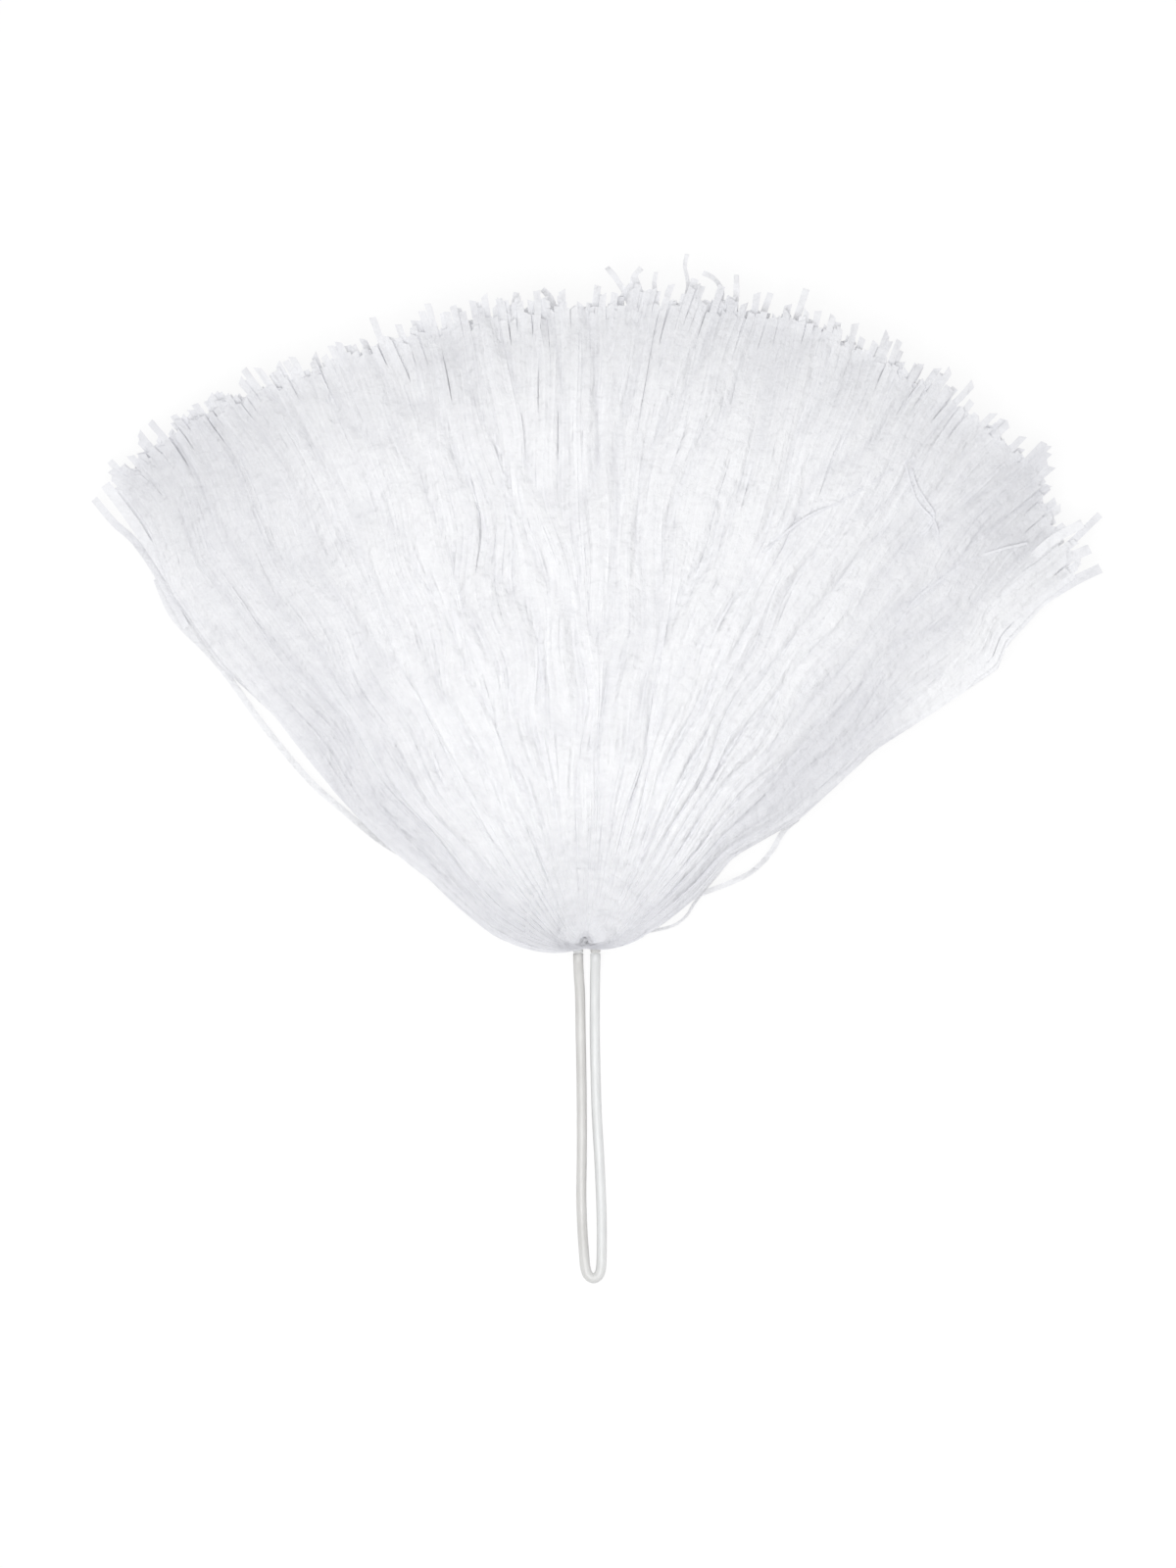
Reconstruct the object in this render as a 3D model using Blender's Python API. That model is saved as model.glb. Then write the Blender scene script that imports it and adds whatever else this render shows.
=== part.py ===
"""A hand-held pom pom of fringed tissue paper, folded over the knotted end of a soft plastic hand loop.

Metres, +Z up. It lies on z = 0 as it would on a table, fringe towards +Y and hand loop towards -Y.
Each sheet is cut into strips from both ends. Its uncut middle is gathered round the neck and
folded over the noose of the loop, so that one half of the strips lies above and the other below.
The origin is under the middle of the tissue head.
"""

import math
import random

import bpy
from mathutils import Vector

# The stack of sheets and its fringe
SHEETS = 5
STRIPS = 16  # in each half of a sheet
STRIP_WIDTH = 0.0090
SLANT = 0.006  # how far from square a strip's end is cut
TISSUE = 0.0003
SHEET_GAP = 0.0006  # between two sheets at the fold
UNCUT_REACH = 0.022  # how far the uncut middle runs out from the neck
PLEAT_AT_FOLD = 0.0002
PLEAT_DEPTH = 0.0007  # where the uncut middle ends
STRIP_SHARE = 0.86  # of a strip's place in the gathered middle that it fills

# The fan that the fringe opens into, seen from above
RIM_RADIUS = 0.250
RIM_SHAPE = (1.03, 1.015, 0.985, 0.975, 0.975, 0.995, 1.02, 1.015, 1.02, 0.96)  # shares of it, from left to right
FAN_LEFT = math.radians(50)
FAN_RIGHT = math.radians(56)
SWEEP_LEFT = 0.90  # how far the strips at each side bow out before they turn up
SWEEP_RIGHT = 0.28
FLARE_LEFT = 1.30  # how far they bulge round the neck
FLARE_RIGHT = 1.35
FLARE_REACH = 0.017
RAGGED = 0.030  # spread of the strip ends, as a share of their length
STRAY = 0.035  # how much further a stray strip sticks out
STRAY_EVERY = 9
OPENING_RATE = 3.0  # how fast the layers spread out sideways along the strips
LAYER_SPREAD = 0.9  # of the distance between two strips that the layers are spread over

# The height of the heap of strips
LOFT = 0.029
LOFT_REACH = 0.060  # where the heap has its full height
LOFT_AT_RIM = 0.85
LOFT_AT_SIDE = 0.32
WAVE_SHARE = 0.35  # of the free height between two layers that a strip waves through

# The loop, its noose and its knot
CORD = 0.0040
CORD_GAP = 0.0006
NECK_HOLE = 0.0006
NOOSE_END = math.radians(126)
KNOT_RADIUS = 0.0040
SWELL_RATE = 2.6  # how gently the sheets rise over the knot
KNOT_LENGTH = 0.0092
KNOT_TAIL = 0.0050
TAIL_SPREAD = 0.0046
JOIN_GAP = 0.0003



def mix(a, b, share):
    return a + (b - a) * share


LAYERS = 2 * SHEETS
FOLD_PITCH = TISSUE + SHEET_GAP
INNER_FOLD = CORD / 2 + CORD_GAP + PLEAT_AT_FOLD + TISSUE / 2
OUTER_FOLD = INNER_FOLD + (SHEETS - 1) * FOLD_PITCH
NECK_RADIUS = OUTER_FOLD + TISSUE / 2 + PLEAT_AT_FOLD + NECK_HOLE
NECK_HEIGHT = OUTER_FOLD + TISSUE / 2 + PLEAT_AT_FOLD
KNOT_ROOM = KNOT_RADIUS + CORD_GAP + PLEAT_DEPTH + TISSUE / 2
SWELL_RADIUS = NECK_RADIUS + SWELL_RATE * (KNOT_ROOM - INNER_FOLD)
KNOT_PLACE = SWELL_RADIUS + KNOT_RADIUS / 6

FOLD_STEPS = 3
STRIP_RINGS = (0.13, 0.36, 0.66)  # places along a strip, from its root to its end
CORD_SIDES = 2  # bevel resolution
CORD_STEPS = 2  # points between two points of the route

# The route of the free stretch, over the table from one end of the noose to the other
EXIT_Y = -0.0108
EXIT_HEIGHT = NECK_HEIGHT
EXIT_STRAIGHT = 0.0025  # the straight bit on each side of an exit
TABLE_HEIGHT = CORD / 2 + 0.00005
LOOP_ROUTE = (
    (-0.0027, EXIT_Y, EXIT_HEIGHT),
    (-0.0027, EXIT_Y - EXIT_STRAIGHT, EXIT_HEIGHT),
    (-0.0025, -0.0190, mix(TABLE_HEIGHT, EXIT_HEIGHT, 0.45)),
    (-0.0020, -0.0275, TABLE_HEIGHT + 0.0004),
    (-0.0018, -0.0400, TABLE_HEIGHT),
    (-0.0015, -0.0560, TABLE_HEIGHT),
    (-0.0013, -0.0740, TABLE_HEIGHT),
    (-0.0013, -0.0920, TABLE_HEIGHT),
    (-0.0015, -0.1070, TABLE_HEIGHT),
    (-0.0011, -0.1200, TABLE_HEIGHT),
    (-0.0003, -0.1320, TABLE_HEIGHT),
    (0.0002, -0.1363, TABLE_HEIGHT),
    (0.0013, -0.1392, TABLE_HEIGHT),
    (0.0033, -0.1403, TABLE_HEIGHT),
    (0.0053, -0.1392, TABLE_HEIGHT),
    (0.0063, -0.1363, TABLE_HEIGHT),
    (0.0066, -0.1300, TABLE_HEIGHT),
    (0.0066, -0.1180, TABLE_HEIGHT),
    (0.0062, -0.1050, TABLE_HEIGHT),
    (0.0055, -0.0900, TABLE_HEIGHT),
    (0.0046, -0.0740, TABLE_HEIGHT),
    (0.0039, -0.0460, TABLE_HEIGHT),
    (0.0039, -0.0275, TABLE_HEIGHT + 0.0004),
    (0.0040, -0.0190, mix(TABLE_HEIGHT, EXIT_HEIGHT, 0.45)),
    (0.0041, EXIT_Y - EXIT_STRAIGHT, EXIT_HEIGHT),
    (0.0041, EXIT_Y, EXIT_HEIGHT),
)


def ease(share):
    """0 to 1, level at both ends."""
    share = min(max(share, 0.0), 1.0)
    return share * share * (3 - 2 * share)


def clear_scene():
    for obj in list(bpy.data.objects):
        bpy.data.objects.remove(obj, do_unlink=True)


def material(name, colour, roughness, transmission=0.0):
    made = bpy.data.materials.new(name)
    made.use_nodes = True
    shader = made.node_tree.nodes["Principled BSDF"]
    shader.inputs["Base Color"].default_value = (*colour, 1)
    shader.inputs["Roughness"].default_value = roughness
    shader.inputs["Metallic"].default_value = 0.0
    shader.inputs["Transmission Weight"].default_value = transmission
    made.diffuse_color = (*colour, 1)
    return made


def fan_angle(place, radius):
    """The direction from the neck, from +Y towards +X, of a place across the fan: -1 is its left edge, 1 its right."""
    across = (place + 1) / 2
    sweep = mix(SWEEP_LEFT, SWEEP_RIGHT, across)
    flare = mix(FLARE_LEFT, FLARE_RIGHT, across)
    outward = max(1 - radius / RIM_RADIUS, 0.0)
    bow = 1 + sweep * outward**2 + flare * math.exp(-(radius - NECK_RADIUS) / FLARE_REACH)
    return mix(-FAN_LEFT, FAN_RIGHT, across) * bow


def plan_point(place, radius):
    angle = fan_angle(place, radius)
    return Vector((radius * math.sin(angle), radius * math.cos(angle), 0))


def across_fan(place, radius):
    """The distance that one unit of place spans at this radius."""
    step = 0.01
    turn = fan_angle(place + step, radius) - fan_angle(place - step, radius)
    return radius * turn / (2 * step)


def layer_pitch(place, radius):
    """The height from one layer of tissue to the next."""
    rise = ease((radius - NECK_RADIUS) / (LOFT_REACH - NECK_RADIUS))
    fall = mix(1, LOFT_AT_RIM, ease((radius - LOFT_REACH) / (RIM_RADIUS - LOFT_REACH)))
    side = mix(LOFT_AT_SIDE, 1, max(1 - place * place, 0.0))
    return FOLD_PITCH + LOFT * rise * fall * side / (LAYERS - 1)


def core_room(place, radius):
    """Half the height between the two innermost layers, which the noose and its knot lie in."""
    if radius <= SWELL_RADIUS:
        return mix(INNER_FOLD, KNOT_ROOM, (radius - NECK_RADIUS) / (SWELL_RADIUS - NECK_RADIUS))
    closed = ease((radius - UNCUT_REACH) / (LOFT_REACH - UNCUT_REACH))
    return mix(KNOT_ROOM, layer_pitch(place, radius) / 2, closed)


def core_height(place, radius):
    """Halfway between the two innermost layers."""
    return layer_height(SHEETS, place, radius) - core_room(place, radius)


def pleat(radius):
    """How far the pleats rise and fall. They open out into the strips past the uncut middle."""
    opened = min(max((radius - NECK_RADIUS) / (UNCUT_REACH - NECK_RADIUS), 0.0), 1.0)
    return mix(PLEAT_AT_FOLD, PLEAT_DEPTH, opened) * (1 - ease((radius - UNCUT_REACH) / UNCUT_REACH))


def rim_radius(place):
    """How far from the neck the strips end."""
    along = min(max((place + 1) / 2, 0.0), 1.0) * (len(RIM_SHAPE) - 1)
    step = min(int(along), len(RIM_SHAPE) - 2)
    return RIM_RADIUS * mix(RIM_SHAPE[step], RIM_SHAPE[step + 1], ease(along - step))


def layer_height(layer, place, radius):
    """The height of a layer's middle. The lowest layer lies on the table."""
    pitch = layer_pitch(place, radius)
    height = TISSUE / 2 + pleat(radius) + layer * pitch
    if layer >= SHEETS:
        height += 2 * core_room(place, radius) - pitch
    return height


def shell(name, centres, outward, quads, paint):
    """A closed solid of the tissue's thickness around a surface of quads. outward is each point's way to the outer face."""
    half = TISSUE / 2
    count = len(centres)
    points = [c + n * half for c, n in zip(centres, outward)]
    points += [c - n * half for c, n in zip(centres, outward)]
    faces, edges = [], {}
    for a, b, c, d in quads:
        faces += [(a, b, c), (a, c, d), (a + count, c + count, b + count), (a + count, d + count, c + count)]
    for quad in quads:
        for a, b in zip(quad, quad[1:] + quad[:1]):
            edges[a, b] = True
    faces += [(b, a, a + count, b + count) for a, b in edges if (b, a) not in edges]
    mesh = bpy.data.meshes.new(name)
    mesh.from_pydata(points, [], faces)
    mesh.materials.append(paint)
    obj = bpy.data.objects.new(name, mesh)
    bpy.context.scene.collection.objects.link(obj)
    return obj


def strip_place(strip):
    return -1 + (2 * strip + 1) / STRIPS


class Sheet:
    """One sheet of tissue: two fringes joined by the gathered middle, which is folded over the noose."""

    def __init__(self, number):
        self.number = number
        self.dice = random.Random(number)
        self.centres, self.outward, self.quads = [], [], []

    def point(self, centre, outward):
        self.centres.append(centre)
        self.outward.append(outward)
        return len(self.centres) - 1

    def columns(self):
        """The place across the fan of each edge of each strip, and the side that its pleat folds to."""
        half = STRIP_SHARE / STRIPS
        return [(strip_place(s) + side * half, -side) for s in range(STRIPS) for side in (-1, 1)]

    def level_row(self, front, radius):
        """A row of points across the gathered middle, above the noose or below it."""
        layer = SHEETS + self.number if front else SHEETS - 1 - self.number
        up = Vector((0, 0, 1 if front else -1))
        row = []
        for place, side in self.columns():
            centre = plan_point(place, radius)
            centre.z = layer_height(layer, place, radius) + side * pleat(radius)
            row.append(self.point(centre, up))
        return row

    def fold_row(self, turn):
        """A row across the fold. turn is -90 degrees under the noose and 90 over it."""
        fold = INNER_FOLD + self.number * FOLD_PITCH
        row = []
        for place, side in self.columns():
            angle = fan_angle(place, NECK_RADIUS)
            away = Vector((math.sin(angle), math.cos(angle), 0))
            outward = Vector((0, 0, math.sin(turn))) - away * math.cos(turn)
            centre = away * NECK_RADIUS + outward * fold
            centre.z += NECK_HEIGHT + side * PLEAT_AT_FOLD
            row.append(self.point(centre, outward))
        return row

    def middle(self):
        """The uncut middle, from the roots of the lower fringe round the fold to those of the upper one."""
        levels = (UNCUT_REACH, SWELL_RADIUS)
        turns = [math.radians(-90 + 180 * i / FOLD_STEPS) for i in range(FOLD_STEPS + 1)]
        rows = [self.level_row(False, radius) for radius in levels]
        rows += [self.fold_row(turn) for turn in turns]
        rows += [self.level_row(True, radius) for radius in reversed(levels)]
        for low, high in zip(rows, rows[1:]):
            for i in range(len(low) - 1):
                self.quads.append((low[i], low[i + 1], high[i + 1], high[i]))
        return rows[0], rows[-1]

    def strip(self, front, roots, strip):
        """One strip of a fringe, on from its two root points to its cut end."""
        layer = SHEETS + self.number if front else SHEETS - 1 - self.number
        shift = (layer * 0.618 % 1 - 0.5) * 2 * LAYER_SPREAD / STRIPS
        lean = self.dice.uniform(-1, 1)
        reach = 1 - RAGGED * self.dice.random()
        if self.dice.randrange(STRAY_EVERY) == 0:
            reach += STRAY * self.dice.random()
        reach *= rim_radius(strip_place(strip))
        slant = SLANT * self.dice.uniform(-0.5, 0.5)
        up = Vector((0, 0, 1 if front else -1))
        before = roots
        for share in (*STRIP_RINGS, 1.0):
            radius = mix(UNCUT_REACH, reach, share)
            span = across_fan(strip_place(strip), radius)
            half = min(STRIP_WIDTH, STRIP_SHARE * 2 * span / STRIPS) / 2
            free = 1 / STRIPS - half / span
            opening = min(OPENING_RATE * share, 1.0)
            sway = 0.6 * lean + 0.3 * self.dice.uniform(-1, 1)
            edge = 1 - half / span
            place = strip_place(strip) + (shift + free * sway) * opening
            place = min(max(place, -edge), edge)
            middle = plan_point(place, radius)
            along = plan_point(place, radius + half) - plan_point(place, radius - half)
            sideways = Vector((along.y, -along.x, 0)).normalized() * half
            free_height = layer_pitch(place, radius) - FOLD_PITCH
            wave = WAVE_SHARE * free_height * opening * self.dice.uniform(-1, 1) if layer else 0.0
            row = []
            for side in (-1, 1):
                centre = middle + sideways * side
                if share == 1:
                    centre += along.normalized() * side * slant
                centre.z = layer_height(layer, place + side * half / span, radius) + wave
                row.append(self.point(centre, up))
            left, right = before
            if front:
                self.quads.append((left, right, row[1], row[0]))
            else:
                self.quads.append((left, row[0], row[1], right))
            before = row

    def build(self, paint):
        lower, upper = self.middle()
        for front, row in ((False, lower), (True, upper)):
            for strip in range(STRIPS):
                self.strip(front, row[2 * strip : 2 * strip + 2], strip)
        return shell(f"tissue_sheet_{self.number + 1}", self.centres, self.outward, self.quads, paint)


def smooth_route(route, steps):
    """Points on one smooth curve through the route's own points. Its first and last stretch are straight."""
    points = [Vector(p) for p in route]
    line = [points[0]]
    for a, b, c, d in zip(points, points[1:], points[2:], points[3:]):
        for i in range(steps):
            t = i / steps
            bend = (2 * a - 5 * b + 4 * c - d) * t**2 + (3 * b - a - 3 * c + d) * t**3
            line.append(b + ((c - a) * t + bend) / 2)
    return [*line, points[-2], points[-1]]


def cord_tube(name, line, paint):
    curve = bpy.data.curves.new(name, "CURVE")
    curve.dimensions = "3D"
    curve.bevel_depth = CORD / 2
    curve.bevel_resolution = CORD_SIDES
    curve.use_fill_caps = True
    spline = curve.splines.new("POLY")
    spline.points.add(len(line) - 1)
    for point, place in zip(spline.points, line):
        point.co = (*place, 1)
    spline.use_smooth = True
    curve.materials.append(paint)
    obj = bpy.data.objects.new(name, curve)
    bpy.context.scene.collection.objects.link(obj)
    return obj


def noose_route():
    """From the right exit round the gathered middle, inside the fold, to the left exit."""
    turns = [mix(NOOSE_END, -NOOSE_END, i / 10) for i in range(11)]
    ring = [Vector((NECK_RADIUS * math.sin(a), NECK_RADIUS * math.cos(a), NECK_HEIGHT)) for a in turns]
    right = [Vector(LOOP_ROUTE[-1]) + Vector((0, JOIN_GAP + step, 0)) for step in (0, EXIT_STRAIGHT)]
    left = [Vector(LOOP_ROUTE[0]) + Vector((0, JOIN_GAP + step, 0)) for step in (EXIT_STRAIGHT, 0)]
    return [*right, *ring, *left]


def turned_mesh(name, profile, centre, axis, sides=12):
    """A closed solid turned round an axis through centre. profile is (along, radius) from end to end."""
    turn = Vector((0, 0, 1)).rotation_difference(Vector(axis)).to_matrix()
    points, faces = [], []
    for along, radius in profile:
        for i in range(sides):
            angle = 2 * math.pi * i / sides
            spot = Vector((radius * math.cos(angle), radius * math.sin(angle), along))
            points.append(Vector(centre) + turn @ spot)
    for row in range(len(profile) - 1):
        for i in range(sides):
            a, b = row * sides + i, row * sides + (i + 1) % sides
            faces.append((a, b, b + sides, a + sides))
    faces.append(tuple(reversed(range(sides))))
    faces.append(tuple(len(points) - sides + i for i in range(sides)))
    mesh = bpy.data.meshes.new(name)
    mesh.from_pydata(points, [], faces)
    obj = bpy.data.objects.new(name, mesh)
    bpy.context.scene.collection.objects.link(obj)
    return obj


def knot_profile():
    """Two round turns of the cord side by side."""
    profile = []
    turn = KNOT_LENGTH / 4
    waist = KNOT_RADIUS - turn
    for centre in (-turn, turn):
        for i in range(7):
            angle = math.pi * (1 - i / 6)
            profile.append((centre + turn * 0.98 * math.cos(angle), waist + turn * math.sin(angle)))
    return profile


def join(target, others):
    for other in others:
        union = target.modifiers.new(other.name, "BOOLEAN")
        union.operation = "UNION"
        union.solver = "EXACT"
        union.object = other
        other.hide_render = True
        other.display_type = "WIRE"


def build_noose(paint):
    """The held stretch of the loop: the noose round the gathered middle, and the knot that closes it."""
    curve = cord_tube("noose_line", smooth_route(noose_route(), CORD_STEPS), paint)
    mesh = bpy.data.meshes.new_from_object(curve.evaluated_get(bpy.context.evaluated_depsgraph_get()))
    bpy.data.objects.remove(curve)
    noose = bpy.data.objects.new("loop_knot", mesh)
    bpy.context.scene.collection.objects.link(noose)
    knot = turned_mesh("knot_turns", knot_profile(), (0, KNOT_PLACE, core_height(0, KNOT_PLACE)), (1, 0, 0))
    others = [knot]
    rise = (core_height(0, UNCUT_REACH) - NECK_HEIGHT) / (UNCUT_REACH - NECK_RADIUS)
    tail_end = KNOT_PLACE - NECK_RADIUS + KNOT_RADIUS + KNOT_TAIL
    for side in (-1, 1):
        root = (side * TAIL_SPREAD / 2, NECK_RADIUS, NECK_HEIGHT)
        profile = ((0, CORD * 0.4), (tail_end, CORD * 0.5))
        others.append(turned_mesh(f"knot_tail_{side}", profile, root, (0, 1, rise)))
    join(noose, others)
    return noose, others


def centre_head(sheets, others):
    """Moves everything so that the origin is under the middle of the tissue head."""
    points = [v.co for sheet in sheets for v in sheet.data.vertices]
    low = Vector([min(p[i] for p in points) for i in range(2)] + [0])
    high = Vector([max(p[i] for p in points) for i in range(2)] + [0])
    for obj in (*sheets, *others):
        obj.location -= (low + high) / 2
    return (low + high) / 2


def main():
    clear_scene()
    tissue = material("tissue", (0.92, 0.925, 0.94), 0.85)
    plastic = material("loop", (0.86, 0.87, 0.86), 0.35, 0.3)
    sheets = [Sheet(number).build(tissue) for number in range(SHEETS)]
    bpy.context.view_layer.update()
    noose, cutters = build_noose(plastic)
    loop = cord_tube("hand_loop", smooth_route(LOOP_ROUTE, CORD_STEPS), plastic)
    centre_head(sheets, [noose, *cutters, loop])


main()
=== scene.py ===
"""A hand-held pom pom of fringed tissue paper on its loop of milky plastic cord, lying on a white table.

Every sheet is cut into its real strips here. The strips leave the gathered middle as narrow pleats,
open out along the fan, gather into soft locks and end in small cut tabs at the rim.
"""

from __future__ import annotations

import logging
import math
from dataclasses import dataclass
from enum import Enum

import bpy
import numpy as np
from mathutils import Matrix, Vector

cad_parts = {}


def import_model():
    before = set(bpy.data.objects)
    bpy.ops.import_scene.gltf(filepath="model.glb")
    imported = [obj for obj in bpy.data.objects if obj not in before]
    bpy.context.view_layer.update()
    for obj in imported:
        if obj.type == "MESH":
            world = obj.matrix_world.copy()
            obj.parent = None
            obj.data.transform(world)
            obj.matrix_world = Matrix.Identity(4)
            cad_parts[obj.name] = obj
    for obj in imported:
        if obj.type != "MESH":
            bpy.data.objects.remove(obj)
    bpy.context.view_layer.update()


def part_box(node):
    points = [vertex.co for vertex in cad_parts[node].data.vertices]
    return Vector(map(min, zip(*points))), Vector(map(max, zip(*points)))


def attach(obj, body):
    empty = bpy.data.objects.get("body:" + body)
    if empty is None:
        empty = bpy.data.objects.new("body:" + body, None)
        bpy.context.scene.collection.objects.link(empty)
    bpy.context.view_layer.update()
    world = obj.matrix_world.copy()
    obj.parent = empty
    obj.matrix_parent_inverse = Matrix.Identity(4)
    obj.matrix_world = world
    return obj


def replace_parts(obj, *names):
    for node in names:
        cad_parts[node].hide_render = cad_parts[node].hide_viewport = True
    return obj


LOG = logging.getLogger("pom_pom")
PAPER_MAP = "across_along"
CORD_MAP = "along_round"
Colour = tuple[float, float, float]
Route = tuple[tuple[float, float], ...]
Table = np.ndarray


class Look(Enum):
    """A number from 0 to 1 that a mesh carries at each point for its finish."""

    # SHADE carries painted shade and painted light on the paper, with a random grey for each strip and lock
    SHADE = "shade"
    THIN = "thin"
    LOOSE = "loose"
    LEG = "leg"


PAPER_LOOKS = (Look.SHADE, Look.THIN, Look.LOOSE)


def mix(a: float | Table, b: float | Table, share: float | Table) -> float | Table:
    """Goes from a at share 0 to b at share 1."""
    return a + (b - a) * share


def ease(share: float | Table) -> Table:
    """Goes from 0 to 1, level at both ends."""
    share = np.clip(share, 0.0, 1.0)
    return share * share * (3 - 2 * share)


def bell(distance: Table, width: float) -> Table:
    """Goes from 1 at no distance to almost 0 at twice the width."""
    return np.exp(-((distance / width) ** 2))


def placed(name: str, data: bpy.types.ID) -> bpy.types.Object:
    """An object of this mesh, camera or lamp, linked to the scene."""
    made = bpy.data.objects.new(name, data)
    bpy.context.scene.collection.objects.link(made)
    return made


class Value:
    """A shader value that Python's operators work on, each adding its Math node."""

    def __init__(self, tree: bpy.types.NodeTree, socket: bpy.types.NodeSocket) -> None:
        """Wraps one output socket of a tree."""
        self.tree = tree
        self.socket = socket

    def _maths(self, operation: str, first: Value | float, second: Value | float) -> Value:
        """Adds a Math node.

        Args:
            operation: The Math node's operation.
            first: Its first value.
            second: Its second value.

        Returns:
            The node's result.
        """
        node = self.tree.nodes.new("ShaderNodeMath")
        node.operation = operation
        for socket, value in zip(node.inputs, (first, second)):
            if isinstance(value, Value):
                self.tree.links.new(value.socket, socket)
            else:
                socket.default_value = value
        return Value(self.tree, node.outputs[0])

    def __add__(self, other: Value | float) -> Value:
        """self + other."""
        return self._maths("ADD", self, other)

    __radd__ = __add__

    def __sub__(self, other: Value | float) -> Value:
        """self - other."""
        return self._maths("SUBTRACT", self, other)

    def __rsub__(self, other: Value | float) -> Value:
        """other - self."""
        return self._maths("SUBTRACT", other, self)

    def __mul__(self, other: Value | float) -> Value:
        """self * other."""
        return self._maths("MULTIPLY", self, other)

    __rmul__ = __mul__


class Material:
    """A node material under construction."""

    def __init__(self, name: str) -> None:
        """Starts an empty material of this name."""
        self.data = bpy.data.materials.new(name)
        self.data.use_nodes = True
        self.tree = self.data.node_tree
        self.tree.nodes.clear()

    def node(self, kind: str, settings: dict | None = None, sockets: dict | None = None) -> bpy.types.Node:
        """Adds a node.

        Args:
            kind: The node's type.
            settings: Its properties, which are set first.
            sockets: Its inputs' values, or the values and sockets linked to them.

        Returns:
            The node.
        """
        made = self.tree.nodes.new(kind)
        for name, value in (settings or {}).items():
            setattr(made, name, value)
        for name, value in (sockets or {}).items():
            socket = made.inputs[name]
            if isinstance(value, Value):
                self.tree.links.new(value.socket, socket)
            elif isinstance(value, bpy.types.NodeSocket):
                self.tree.links.new(value, socket)
            else:
                socket.default_value = value
        return made

    def value(self, socket: bpy.types.NodeSocket) -> Value:
        """An output socket as a value."""
        return Value(self.tree, socket)

    def attribute(self, look: Look) -> Value:
        """A number that the mesh carries."""
        return self.value(self.node("ShaderNodeAttribute", {"attribute_name": look.value}).outputs["Fac"])

    def stretched(self, flat: str, scale: tuple[float, float, float]) -> bpy.types.NodeSocket:
        """The places of a flat map, scaled.

        Args:
            flat: The map's name.
            scale: How much larger each of its directions becomes.

        Returns:
            The places' socket.
        """
        line = self.node("ShaderNodeUVMap", {"uv_map": flat}).outputs["UV"]
        return self.node("ShaderNodeVectorMath", {"operation": "MULTIPLY"}, {0: line, 1: scale}).outputs[0]

    def noise(self, scale: float, detail: float, vector: bpy.types.NodeSocket | None = None) -> Value:
        """Noise over the object's own coordinates, from 0 to 1.

        Args:
            scale: Its scale, per metre where no vector is given.
            detail: Its detail.
            vector: Other coordinates to use.

        Returns:
            The noise.
        """
        place = vector or self.node("ShaderNodeTexCoord").outputs["Object"]
        made = self.node("ShaderNodeTexNoise", {}, {"Vector": place, "Scale": scale, "Detail": detail})
        return self.value(made.outputs["Fac"])

    def between(
        self, share: Value, first: Colour | bpy.types.NodeSocket, second: Colour | bpy.types.NodeSocket
    ) -> bpy.types.NodeSocket:
        """A colour that goes from the first to the second with share.

        Args:
            share: 0 for the first colour, 1 for the second.
            first: The first colour.
            second: The second colour.

        Returns:
            The colour's socket.
        """
        made = self.node("ShaderNodeMix", {"data_type": "RGBA"})
        factor, *_, a, b = [socket for socket in made.inputs if socket.enabled]
        self.tree.links.new(share.socket, factor)
        for socket, colour in ((a, first), (b, second)):
            if isinstance(colour, bpy.types.NodeSocket):
                self.tree.links.new(colour, socket)
            else:
                socket.default_value = (*colour, 1)
        return next(socket for socket in made.outputs if socket.enabled)

    def bump(self, height: Value, depth: float, strength: float) -> bpy.types.NodeSocket:
        """The normals of a surface that is raised by height.

        Args:
            height: How high each place is.
            depth: What one unit of height is in metres.
            strength: How much of it shows.

        Returns:
            The normals' socket.
        """
        sockets = {"Strength": strength, "Distance": depth, "Height": height}
        return self.node("ShaderNodeBump", {}, sockets).outputs["Normal"]

    def output(self, shader: bpy.types.Node) -> bpy.types.Material:
        """Ends the material with this shader."""
        self.node("ShaderNodeOutputMaterial", {}, {"Surface": shader.outputs[0]})
        return self.data


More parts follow.
